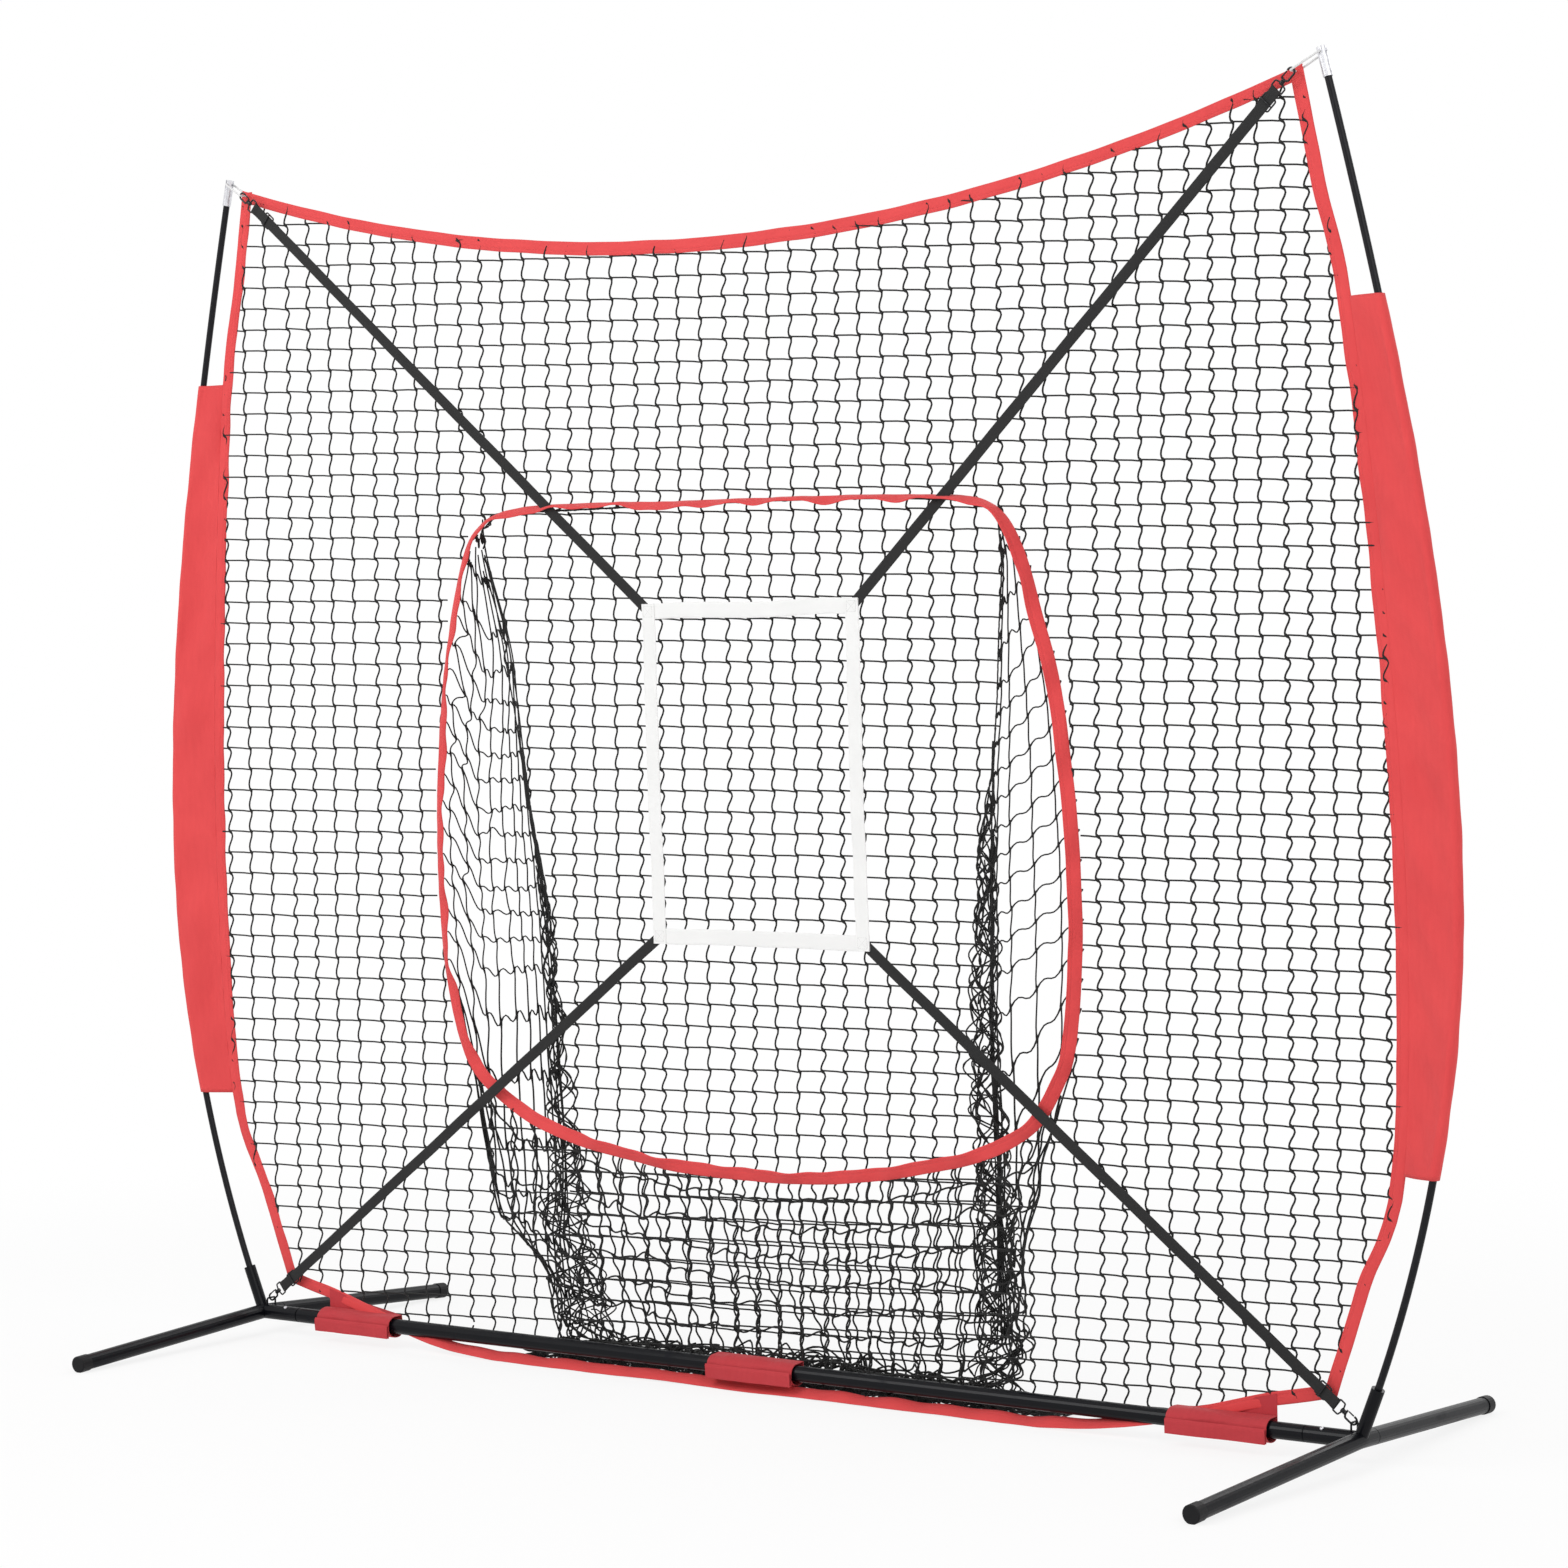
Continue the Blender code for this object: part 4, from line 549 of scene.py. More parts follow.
# %% Knots on the cloth and in the picture
def sighted(places, depth):
    """Slides places along the camera's lines of sight until they reach a surface, whose y is depth(x, z)."""
    lines = places - np.array(CAMERA_PLACE)
    reach = np.ones(lines.shape[:-1] + (1,))
    for _ in range(12):
        spots = CAMERA_PLACE + reach * lines
        reach = ((depth(spots[..., 0], spots[..., 2]) - CAMERA_PLACE[1]) / lines[..., 1])[..., None]
    return CAMERA_PLACE + reach * lines


def net_depth(x, z):
    return NET_FOOT_Y - NET_LEAN * z


def in_picture(u, v):
    """A place on the line of sight through a pixel of the photograph."""
    u, v = np.broadcast_arrays(u, v)
    across = np.stack([u - IMAGE_SIDE / 2, IMAGE_SIDE / 2 - v, np.full(u.shape, -FOCAL_PIXELS)], -1) / FOCAL_PIXELS
    return CAMERA_PLACE + across @ CAMERA_AXES


def crossings(columns, rows, seed):
    """Where columns and rows cross on the net: x and height for each, a little uneven as knitted net is."""
    rng = np.random.default_rng(seed)
    i, j = np.meshgrid(columns, rows, indexing="ij")
    pictured = sighted(in_picture(PICTURE_KNOT[0] + PICTURE_STEP[0] * i, PICTURE_KNOT[1] + PICTURE_STEP[1] * j),
                       net_depth)
    middle = sighted(in_picture(*PICTURE_KNOT), net_depth)
    x = mix(middle[0] + COLUMN * i, pictured[..., 0], PICTURE_SHARE) + np.array(SHIFT_BY_COLUMN)[i % 4]
    z = mix(middle[2] + ROW * j, pictured[..., 2], PICTURE_SHARE) / math.cos(NET_TILT)
    return x + rng.normal(0, UNEVEN[0], x.shape), z + rng.normal(0, UNEVEN[1], x.shape)


print(f"knots lie {PICTURE_SHARE:.0%} of the way towards even steps in the picture")

# %% Chains and laid threads
def uprights(x, z, columns, sway=1.0):
    """One path for each chain, from its top crossing down, with how far each point swells."""
    for k, i in enumerate(columns):
        top_x, low_x = x[k, :0:-1, None], x[k, -2::-1, None]
        top_z, low_z = z[k, :0:-1, None], z[k, -2::-1, None]
        side = sway * SWAY_BY_COLUMN[i % 4]
        path = np.stack([mix(top_x, low_x, SWAY_AT) + side, mix(top_z, low_z, SWAY_AT)], -1).reshape(-1, 2)
        swell = np.tile([KNOT[0], KNOT[1]] + [1.0] * (len(SWAY_AT) - 3) + [KNOT[1]], len(path) // len(SWAY_AT))
        yield np.append(path, [[x[k, 0], z[k, 0]]], 0), np.append(swell, KNOT[0])


def levels(x, z, at=LEVEL_AT, drop=LEVEL_DROP):
    """One path for each thread laid across."""
    for j in range(x.shape[1]):
        near_x, far_x = x[:-1, j, None], x[1:, j, None]
        near_z, far_z = z[:-1, j, None], z[1:, j, None]
        path = np.stack([mix(near_x, far_x, at), mix(near_z, far_z, at) + drop], -1).reshape(-1, 2)
        swell = np.tile([LAID_KNOT] + [1.0] * (len(at) - 1), len(path) // len(at))
        yield np.append(path, [[x[-1, j], z[-1, j]]], 0), np.append(swell, LAID_KNOT)


def runs(labels):
    """(label, first, last) of each stretch with one label. 0 is left out, and stretches share their ends."""
    start = 0
    for i in range(1, len(labels) + 1):
        if i == len(labels) or labels[i] != labels[start]:
            if labels[start]:
                end = min(i, len(labels) - 1)
                yield labels[start], start, end if labels[end] else i - 1
            start = i


def knit(shapes, paths, label, to_world, radius):
    """Sweeps each stretch of each path into the shape that its label names."""
    section = circle(radius, THREAD_SIDES)
    for path, swell in paths:
        for name, first, last in runs(label(path[:, 0], path[:, 1])):
            if last - first > 1:
                cut = slice(first, last + 1)
                world = to_world(path[cut, 0], path[cut, 1])
                shapes[name].sweep(world, section, FRONT, swell=swell[cut])


print(f"a crossing is {KNOT[0]} times as thick as the chain, and {LAID_KNOT} times as thick as the laid thread")

# %% [markdown]
# ## Where the netting ends
#
# The solid model has the netting in four panels, so the dressed one has four as well. A Boolean cut would work
# on the finished mesh, but it is slow on a net. Here each point gets the number of its panel, or 0 outside the
# binding, and every thread is cut into stretches that have one number.

# %% Panels of the net
MOUTH_MIDDLE = 0.85
RIM_TURN = np.unwrap(np.arctan2(MOUTH_PATH[:, 0], MOUTH_PATH[:, 1] - MOUTH_MIDDLE))
RIM_REACH = np.hypot(MOUTH_PATH[:, 0], MOUTH_PATH[:, 1] - MOUTH_MIDDLE)


def beyond_mouth(x, z):
    """How far outside the mouth's edge a place is, in metres, along the way from the mouth's middle."""
    turn, reach = np.arctan2(x, z - MOUTH_MIDDLE), np.hypot(x, z - MOUTH_MIDDLE)
    order = np.argsort(RIM_TURN % math.tau)
    return reach - np.interp(turn % math.tau, (RIM_TURN % math.tau)[order], RIM_REACH[order], period=math.tau)


UNDER_TAPE = TAPE * 0.2      # how far threads stop short of the outer edges, and reach under the mouth's tape
PANEL_HALF, PANEL_SPLIT = 0.6, 0.81
HEM_FORWARD, HEM_FALLS = 0.016, (0.0185, 0.0115)
PANELS = {1: "left", 2: "right", 3: "top", 4: "bottom"}


def panel(x, z):
    """Which panel a place is in, or 0 outside the netting."""
    inside = ((np.abs(x) < side_edge(z) - UNDER_TAPE) & (z < top_edge(x) - UNDER_TAPE)
              & (z > hem_edge(x) + UNDER_TAPE) & (beyond_mouth(x, z) > TAPE - UNDER_TAPE))
    middle = np.where(z > PANEL_SPLIT, 3, 4)
    return np.where(x < -PANEL_HALF, 1, np.where(x > PANEL_HALF, 2, middle)) * inside


def hem_slack(x):
    """How loosely the hem hangs: 0 at the feet and 1 in the middle, where it falls forward under the bar."""
    return ease(0.93, 0.62, np.abs(x))


def hung(x, z, off=0.0):
    """On the net's plane, apart from the lowest threads, which come forward with the hem."""
    return on_net(x, z, off + HEM_FORWARD * hem_slack(x) * ease(*HEM_FALLS, z))


COLUMNS, ROWS = range(-27, 32), range(-36, 34)
x, z = crossings(COLUMNS, ROWS, seed=3)
shapes = {label: Shape() for label in PANELS}
knit(shapes, uprights(x, z, COLUMNS), panel, hung, CHAIN_R)
knit(shapes, levels(x, z), panel, lambda x, z: hung(x, z, -0.0004), LAID_R)
for label, shape in shapes.items():
    shape.piece(f"netting_{PANELS[label]}", thread, "frame", [f"net_{PANELS[label]}"])

# %% [markdown]
# ## The pocket's back panel
#
# Behind the mouth hangs a loose pocket. Its back is cut from the same net, and through the mouth it carries on
# the grid outside. So its knots are those of the flat net, slid along the camera's lines of sight until they
# meet the back. It bulges back towards the floor, where a ball comes to rest, and hangs less evenly there.

# %% Back panel
BACK_HEIGHT = (0.0, 0.20, 0.40, 0.60, 0.80, 1.00, 1.20, 1.42)
BACK_Y = (0.136, 0.104, 0.074, 0.045, 0.018, -0.002, -0.015, -0.027)
SEAM_HEIGHT = (0.02, 0.20, 0.40, 0.60, 0.80, 1.00, 1.10, 1.20, 1.30, 1.37, 1.41)
SEAM_HALF = (0.400, 0.427, 0.426, 0.428, 0.439, 0.460, 0.473, 0.485, 0.499, 0.503, 0.482)
# Heights, and how far the pocket leans to the left there
SEAM_LEAN = ((0.20, 0.40, 0.75, 1.10, 1.30, 1.37, 1.41), (-0.032, -0.018, 0.0, -0.002, -0.010, -0.018, -0.040))
BACK_TOP, BACK_FOOT, PAST_SEAM = 1.415, 0.012, 0.008


def back_depth(x, z):
    return np.interp(z, BACK_HEIGHT, BACK_Y) + 0.006 * ripple(11, x, z, size=0.5) * ease(1.40, 1.25, z)


def back_panel(x, z):
    return np.stack([x, back_depth(x, z), z], -1)


def seam_half(z):
    return np.interp(z, SEAM_HEIGHT, SEAM_HALF)


def seam_lean(z):
    return np.interp(z, *SEAM_LEAN)


def in_back(x, z):
    beside = np.abs(x - seam_lean(z)) < seam_half(z) + PAST_SEAM
    return (beside & (z < BACK_TOP) & (z > BACK_FOOT)).astype(int)


columns, rows = range(-15, 19), range(-36, 16)
knots = sighted(on_net(*crossings(columns, rows, seed=5)), back_depth)
x, z = knots[..., 0], knots[..., 2]
x = x + 0.008 * ripple(6, x, z, size=0.35) * ease(0.75, 0.3, z)
z = z + 0.010 * ripple(7, x, z, size=0.30) * ease(0.60, 0.2, z)
pocket_back = Shape()
knit({1: pocket_back}, uprights(x, z, columns), in_back, back_panel, CHAIN_R)
knit({1: pocket_back}, levels(x, z), in_back, back_panel, LAID_R)
pocket_back.piece("pocket_back", thread, "frame", ["pocket"])

# %% [markdown]
# ## The pocket's sides and front
#
# Between the mouth and the back panel runs a wide strip of the same net. Beside the mouth it is stretched into
# long slanting cells and gathered along the back seam. Below the mouth it hangs loose as a second layer down to
# the floor. The strip is one closed band with rings round the mouth and spokes across it, knotted where they
# cross. On the left it turns back behind the tape and its rings spread, on the right most of them crowd into
# the seam, and at the bottom they are even.

# %% Strip round the mouth
STRIP_WIDTH, SPOKES = 0.40, 90
LEFT_RINGS = np.array((0.06, 0.13, 0.21, 0.30, 0.40, 0.50, 0.61, 0.73, 0.85, 0.98))
RIGHT_RINGS = np.array((0.26, 0.54, 0.80, 0.94, 0.980, 0.986, 0.990, 0.993, 0.996, 0.998))
EVEN_RINGS = (np.arange(10) + 0.7) / 10
BAG_FLOOR, SIDE_FALL = 0.009, 0.098
ON_LEFT, BELOW_MOUTH = (0.1, -0.3), (0.62, 0.36)      # where the strip's two changes of form begin and are complete
MOUTH_LOOP = np.concatenate([MOUTH_PATH, MOUTH_PATH[:1]])
MOUTH_RUN = np.concatenate([[0], np.cumsum(np.linalg.norm(np.diff(MOUTH_LOOP, axis=0), axis=1))])


def unit(vectors):
    return vectors / np.linalg.norm(vectors, axis=-1, keepdims=True)


def mouth_at(run, out=0.0):
    """Places on the mouth's edge, so many metres from its top, moved outwards."""
    def place(distance):
        distance = distance % MOUTH_RUN[-1]
        return np.stack([np.interp(distance, MOUTH_RUN, MOUTH_LOOP[:, k]) for k in (0, 1)], -1)
    ahead = place(run + 0.012) - place(run - 0.012)
    return place(run) + out * unit(np.stack([-ahead[..., 1], ahead[..., 0]], -1))


def round_mouth(count, out):
    return mouth_at(np.linspace(0, MOUTH_RUN[-1], count, endpoint=False), out)


def strip_end(x, z):
    """The back seam opposite a place on the mouth's edge. Low places hang down to the floor."""
    fall = ease(0.78, 0.355, z)
    height = mix(z - SIDE_FALL * ease(1.40, 1.22, z), BAG_FLOOR, fall)
    height = mix(height, np.minimum(1.413, z - 0.004), ease(1.35, 1.385, z))
    seam = seam_half(height)
    inward = np.abs(x) * np.where(x > 0, 0.83, 0.78)
    half = np.where(fall > 0, mix(seam, inward, ease(0.55, 0.40, z)), seam)
    half = np.where(z > 1.395, np.minimum(np.abs(x), 0.470), half)
    half = half + 0.020 * ripple(24, x, z, size=0.06) * fall * ease(0.25, 0.45, np.abs(x))
    return np.stack([np.sign(x) * half + seam_lean(height), np.interp(height, BACK_HEIGHT, BACK_Y), height], -1)


def strip(run, share):
    """Points between the mouth and the back seam. The strip drops first and goes back afterwards."""
    x, z = np.moveaxis(mouth_at(run, TAPE * 0.95), -1, 0)
    start, end = on_net(x, z, -0.004 - 0.005 * ease(0.60, 0.50, z) * ease(0.0, -0.2, x)), strip_end(x, z)
    share = np.asarray(share, float)[..., None]
    loose = ease(*BELOW_MOUTH, z)[..., None]
    bend = np.array((0.030, 0.085, 0.0)) * ease(0.30, -0.30, x)[..., None] + (0, 0.020, 0)
    bend = bend * (ease(1.40, 1.25, z) * ease(0.40, 0.60, z))[..., None] * 2 * share * (1 - share)
    back_share, drop = share ** 1.6, np.minimum(1, mix(1.0, 1.35, loose) * share)
    back_share = mix(share, back_share, loose)
    early = ease(0.0, 0.24, share) * 1.04 - 0.04 * share
    drop = mix(drop, early, ease(*ON_LEFT, x)[..., None] * (1 - loose))
    point = np.concatenate([mix(start[..., :1], end[..., :1], share),
                            mix(start[..., 1:2], end[..., 1:2], back_share),
                            mix(start[..., 2:], end[..., 2:], drop)], -1) + bend
    x, y, z = np.moveaxis(point, -1, 0)
    shift = np.stack([ripple(21, x, z, y, size=0.09), ripple(22, x, z, size=0.12),
                      ripple(23, x, z, size=0.08)], -1)
    ends = 1 + 0.9 * ease(0.30, 0.42, np.abs(x))[..., None]
    point = point + shift * (0.008, 0.010, 0.008) * ends * loose * np.minimum(1, 4 * share * (1.15 - share))
    point[..., 2] = np.maximum(point[..., 2], 0.004)
    return point


print(f"the mouth's edge is {MOUTH_RUN[-1]:.2f} m long, a spoke every {MOUTH_RUN[-1] / SPOKES * 1000:.0f} mm")

# %% Rings and spokes
rng = np.random.default_rng(17)
around = np.arange(SPOKES + 1) * MOUTH_RUN[-1] / SPOKES
x, z = np.moveaxis(mouth_at(around), -1, 0)
hangs = ease(0.62, 0.40, z)
slack = mix(0.4, 1.0, ease(*ON_LEFT, x)) * mix(0.5, 1.0, ease(1.0, 1.25, z))
shares = mix(mix(LEFT_RINGS[:, None], RIGHT_RINGS[:, None], ease(-0.3, 0.3, x)), EVEN_RINGS[:, None], hangs)
free = np.minimum(1, 8 * (1 - shares))
shares = shares + rng.normal(0, 0.020, shares.shape) * slack * free
along = around + rng.normal(0, 0.0065, shares.shape) * slack * free
shares[:, -1], along[:, -1] = shares[:, 0], along[:, 0] + MOUTH_RUN[-1]
shares = np.concatenate([np.zeros((1, SPOKES + 1)), shares, np.ones((1, SPOKES + 1))])
along = np.concatenate([around[None], along, around[None]])

pocket_sides = Shape()
section = circle(CHAIN_R, THREAD_SIDES)
S_CURVE = np.linspace(0, 1, 8)[:-1]
RING_SWAY, SPOKE_SWAY = 0.6, 0.004
CROWDED, GATHERED_BELOW, SHORT = 0.955, 1.0, (0.018, 0.026, 0.036)


def sewn_in(path, ring):
    """1 where a ring shows, and 0 where it has run into the seam. Spokes have ring 0 and always show."""
    if not ring:
        return np.ones(len(path), int)
    x, z = np.moveaxis(mouth_at(path[:, 1]), -1, 0)
    length = np.linalg.norm(on_net(x, z) - strip_end(x, z), axis=1)
    clear = (path[:, 0] < CROWDED * STRIP_WIDTH) | (z < GATHERED_BELOW)
    return ((length > SHORT[ring % 3]) & clear).astype(int)


rings = uprights(shares[1:-1] * STRIP_WIDTH, along[1:-1], range(len(EVEN_RINGS)), RING_SWAY)
spokes = levels(shares * STRIP_WIDTH, along, S_CURVE, SPOKE_SWAY * np.sin(S_CURVE * math.tau))
numbered = [(*ring, k + 1) for k, ring in enumerate(rings)] + [(*spoke, 0) for spoke in spokes]
for path, swell, ring in numbered:
    places = strip(path[:, 1], path[:, 0] / STRIP_WIDTH)
    swell = swell * mix(0.78, 1.0, ease(0.70, 0.45, places[:, 2]))
    for _, first, last in runs(sewn_in(path, ring)):
        if last - first > 1:
            cut = slice(first, last + 1)
            pocket_sides.sweep(places[cut], section, (0.3, 0.9, 0.3), swell=swell[cut])
pocket_sides.piece("pocket_sides", thread, "frame", ["pocket"])

# %% [markdown]
# ## The gathered seams
#
# Along each back seam the strip is gathered on a cord. High up that is a thin dark line. Lower down there is
# more strip than seam, so it bunches into a tangle that widens towards the floor. Its threads aren't traced one
# by one: strands wander down the seam inside a width that grows, and loops shaped like a lying eight tie them
# together.

# %% Gathered seams
TANGLE_Z = (0.00, 0.10, 0.20, 0.34, 0.45, 0.58, 0.74, 0.85, 0.92, 1.00, 1.08, 1.45)
TANGLE_HALF = {-1: (0.056, 0.052, 0.046, 0.038, 0.026, 0.017, 0.010, 0.005, 0.003, 0.0015, 0.0010, 0.0008),
               1: (0.056, 0.046, 0.038, 0.036, 0.036, 0.027, 0.023, 0.017, 0.010, 0.003, 0.0010, 0.0008)}
TANGLE_MIDDLE = {-1: 0.10, 1: -0.45}      # where the strands lie, in half widths from the seam outwards
STRANDS, LOOPS = {-1: 8, 1: 11}, {-1: 11, 1: 20}
CORD_PLIES, PLY_R = 3, 0.0007


def seam_at(side, z):
    return np.stack([side * seam_half(z) + seam_lean(z), np.interp(z, BACK_HEIGHT, BACK_Y), z], -1)


pocket_seams = Shape()
rng = np.random.default_rng(29)
for side in (-1, 1):
    z = np.arange(1.405, 0.010, -0.005)
    line = seam_at(side, z)
    half = np.interp(z, TANGLE_Z, TANGLE_HALF[side])
    middle = TANGLE_MIDDLE[side] * half * ease(0.30, 0.60, z)
    for k in range(CORD_PLIES):
        wind = z * 160 + k * math.tau / CORD_PLIES
        cord = line + np.stack([PLY_R * np.cos(wind), PLY_R * np.sin(wind), 0 * z], -1)
        pocket_seams.sweep(cord, circle(PLY_R, THREAD_SIDES), (0, 1, 0))
    for k in range(STRANDS[side]):
        low = z < mix(1.06, 0.80, k / STRANDS[side])
        swing = np.sin(z * math.tau / rng.uniform(0.09, 0.24) + rng.uniform(0, 6))
        swing += 0.35 * ripple(400 + k, z, size=0.04)
        wander = np.stack([side * middle + 0.85 * half * swing,
                           0.4 * half * ripple(500 + 10 * k + side, z, size=0.08), 0 * z], -1)
        swell = 1 + 0.5 * (np.sin(z * 150 + k) > 0.8)
        strand = circle(CHAIN_R * 0.85, THREAD_SIDES)
        pocket_seams.sweep((line + wander)[low], strand, (0, 1, 0), swell=swell[low])
    for k in range(LOOPS[side]):
        turn = np.linspace(0, rng.uniform(0.9, 1.8) * math.pi, 22)
        height, wide, lift = rng.random() ** 1.3 + 0.03, rng.uniform(0.4, 1.0), rng.uniform(0.013, 0.030)
        z_loop = height + lift * np.sin(2 * turn + rng.uniform(0, 6)) + rng.uniform(-0.006, 0.006) * turn
        half_loop = np.interp(z_loop, TANGLE_Z, TANGLE_HALF[side]) * wide
        path = seam_at(side, z_loop)
        path[:, 0] += (half_loop * np.sin(turn + rng.uniform(0, 6))
                       + side * TANGLE_MIDDLE[side] * half_loop * ease(0.30, 0.60, z_loop))
        path[:, 1] += half_loop * 0.5 * np.cos(turn * 0.8 + rng.uniform(0, 6))
        path[:, 2] = np.maximum(path[:, 2], 0.004)
        pocket_seams.sweep(path, circle(CHAIN_R * 0.8, THREAD_SIDES), (0.1, 1, 0.1))
pocket_seams.piece("pocket_seams", thread, "frame", ["pocket"])

# %% [markdown]
# ## The heap of net on the floor
#
# The pocket is longer than it needs to be, so its lowest part lies in a crumpled heap behind the base bar. A
# cloth simulation of a knotted net would take long and still need clean-up. A heap is only many threads that
# wander in low loops, so each is a smooth random walk, kept above the floor and lowest at both ends of the
# heap.

# %% Heap
HEAP_HALF, HEAP_THREADS, HEAP_HEIGHT, FLAT_SHARE = 0.50, 250, 0.062, 0.36
rng = np.random.default_rng(41)
heap = Shape()
for k in range(HEAP_THREADS):
    centre = rng.uniform(-HEAP_HALF, HEAP_HALF)
    reach = rng.uniform(0.05, 0.15)
    steps = np.linspace(-1, 1, 34)
    x = np.clip(centre + steps * reach, -HEAP_HALF, HEAP_HALF + 0.03)
    flat = k < HEAP_THREADS * FLAT_SHARE      # threads that lie on the floor, below the rest
    depth = rng.uniform(0.045, 0.125) if flat else rng.uniform(0.030, 0.118)
    low = 0.0035 + 0.45 * HEAP_HEIGHT * rng.random() ** 1.6 * (1 - 0.55 * (x / HEAP_HALF) ** 2)
    y = depth + 0.016 * ripple(100 + k, x, size=0.05) + 0.010 * np.sin(steps * 9 + k)
    z = low + (0.013 * (1 + ripple(300 + k, x, size=0.040))) * (1 - 0.6 * (x / HEAP_HALF) ** 2)
    z = 0.0022 + 0.004 * (1 + ripple(300 + k, x, size=0.040)) if flat else z
    path = np.stack([x, np.maximum(y, 0.021), np.maximum(z, 0.0020)], -1)
    heap.sweep(path, circle(CHAIN_R, THREAD_SIDES), (0, 0, 1), swell=1 + 0.3 * (np.sin(steps * 21 + k) > 0.85))
heap.piece("pocket_heap", thread, "frame", ["pocket"])

# %% [markdown]
# ## The red binding
#
# The net's edges and its mouth are bound with a folded strip of the red cloth, closed by two rows of stitches.
# A plain band with a picture of stitches would have a flat edge. Here the section of the folded strip is swept
# along each edge: round at the fold, full in the middle, and drawn in along both rows. It ripples a little, as
# sewn tape does when the net below it pulls. The stitches are real threads, one short stitch after another.

# %% Binding and stitches
FOLD = np.array(((0.000, 0.00), (0.012, 0.62), (0.05, 0.95), (0.16, 1.05), (0.34, 1.00), (0.52, 1.04), (0.66, 1.00),
                 (0.72, 0.70), (0.78, 0.96), (0.85, 0.98), (0.90, 0.68), (0.95, 0.92), (0.985, 0.75), (1.0, 0.35)))
STITCH_ROWS = (0.72, 0.90)
STITCH, STITCH_GAP, STITCH_R, FIRST_STITCH = 0.0036, 0.0012, 0.00035, 0.006
ROW_DEPTH = 0.72      # how thick the tape still is along a row of stitches


def arc_length(path, ring=False):
    path = np.concatenate([path, path[:1]]) if ring else path
    return np.concatenate([[0], np.cumsum(np.linalg.norm(np.diff(path, axis=0), axis=1))])


def finely(path, pitch, ring=False):
    """The same path with points at even steps."""
    run = arc_length(path, ring)
    path = np.concatenate([path, path[:1]]) if ring else path
    count = round(run[-1] / pitch)
    at = np.linspace(0, run[-1], count, endpoint=False) if ring else np.linspace(0, run[-1], count + 1)
    return np.stack([np.interp(at, run, path[:, k]) for k in range(path.shape[1])], -1)


print(f"{1 / (STITCH + STITCH_GAP):.0f} stitches to the metre in each row")

# %% A folded tape
def tape(outer, inner, thick, ring, seed, swing):
    """A folded strip between its folded edge and its sewn edge, and what its stitches need to know of it."""
    run = arc_length(outer, ring)
    run_rows = run[:-1] if ring else run
    wander = ripple(seed, run_rows, size=0.075)[:, None]
    lift = ripple(seed + 1, run_rows, size=0.06)[:, None]
    fade = 1.0 if ring else np.minimum(1, 8 * np.minimum(run_rows, run_rows[-1] - run_rows) + 0.05)[:, None]
    across = inner - outer
    wide = np.linalg.norm(across, axis=1, keepdims=True)
    ahead = np.roll(outer, -1, 0) - np.roll(outer, 1, 0) if ring else np.gradient(outer, axis=0)
    normal = np.cross(across, ahead)
    normal /= np.linalg.norm(normal, axis=1, keepdims=True)
    normal *= np.sign((normal * FRONT).sum(1, keepdims=True))
    outer = outer + across / wide * wander * 0.0005 * fade
    shares = np.concatenate([FOLD, FOLD[-1:0:-1] * (1, -1)])
    puff = 1 + 0.20 * ripple(seed + 2, run_rows, size=0.03)[:, None]
    points = (outer[:, None] + across[:, None] * shares[None, :, :1]
              + normal[:, None] * (shares[None, :, 1:] * thick / 2 * puff[:, None]
                                   + (lift * fade * swing)[:, None] * np.sin(shares[None, :, :1] * math.pi * 0.5)))
    edge = np.concatenate([shares, shares[:1]])[:, 0] * wide.mean()
    v = np.concatenate([[0], np.cumsum(np.abs(np.diff(edge)) + 1e-5)])
    facing = (np.cross(points[1, 1] - points[1, 0], points[2, 0] - points[1, 0])
              @ (points[1, 0] - points[1].mean(0)))
    if facing > 0:
        points, v = points[:, ::-1], v[::-1]
    shape = Shape().lattice(points, run, v, around=True, ring=ring, caps=not ring)
    return shape, (outer, across, normal, thick * puff, lift * fade * swing, run)


def stitches(strip, ring):
    """Short raised stitches along both rows and on both faces of a strip."""
    shape = Shape()
    *edges, run = strip
    if ring:
        edges = [np.concatenate([edge, edge[:1]]) for edge in edges]
    outer, across, normal, thick, lift = edges
    for share in STITCH_ROWS:
        for face in (1, -1):
            line = outer + across * share + normal * (lift * math.sin(share * math.pi * 0.5)
                                                      + face * thick * 0.5 * ROW_DEPTH)
            for start in np.arange(FIRST_STITCH, run[-1] - STITCH, STITCH + STITCH_GAP):
                at = start + STITCH * np.array((0.0, 0.2, 0.5, 0.8, 1.0))
                path = np.stack([np.interp(at, run, line[:, k]) for k in range(3)], -1)
                out = face * np.array([np.interp(start, run, normal[:, k]) for k in range(3)])
                path += out * np.array((-0.0003, 0.0001, 0.0002, 0.0001, -0.0003))[:, None]
                shape.sweep(path, circle(STITCH_R, 4), out)
    return shape


def bound(name, outer, inner, nodes, seed, ring=False, thick=TAPE_T, swing=0.0012):
    """A tape between two edges, and its stitches as a piece of their own."""
    shape, edges = tape(outer, inner, thick, ring, seed, swing)
    shape.piece(name, red, "frame", nodes)
    stitches(edges, ring).piece(name + "_stitches", red_thread, "frame")


red_thread = Finish("red_thread", "red_cloth", Specular_IOR_Level=0.3, Sheen_Weight=0.2)
along, across = red_thread.cloth()
plies = (along + across * 2).wave(0.0008)
red_thread.set("Base Color", red_thread.mix(plies, shade(196, 58, 62), shade(226, 84, 86)))
red_thread.set("Roughness", 0.6 + red_thread.noise(0.01) * 0.15)

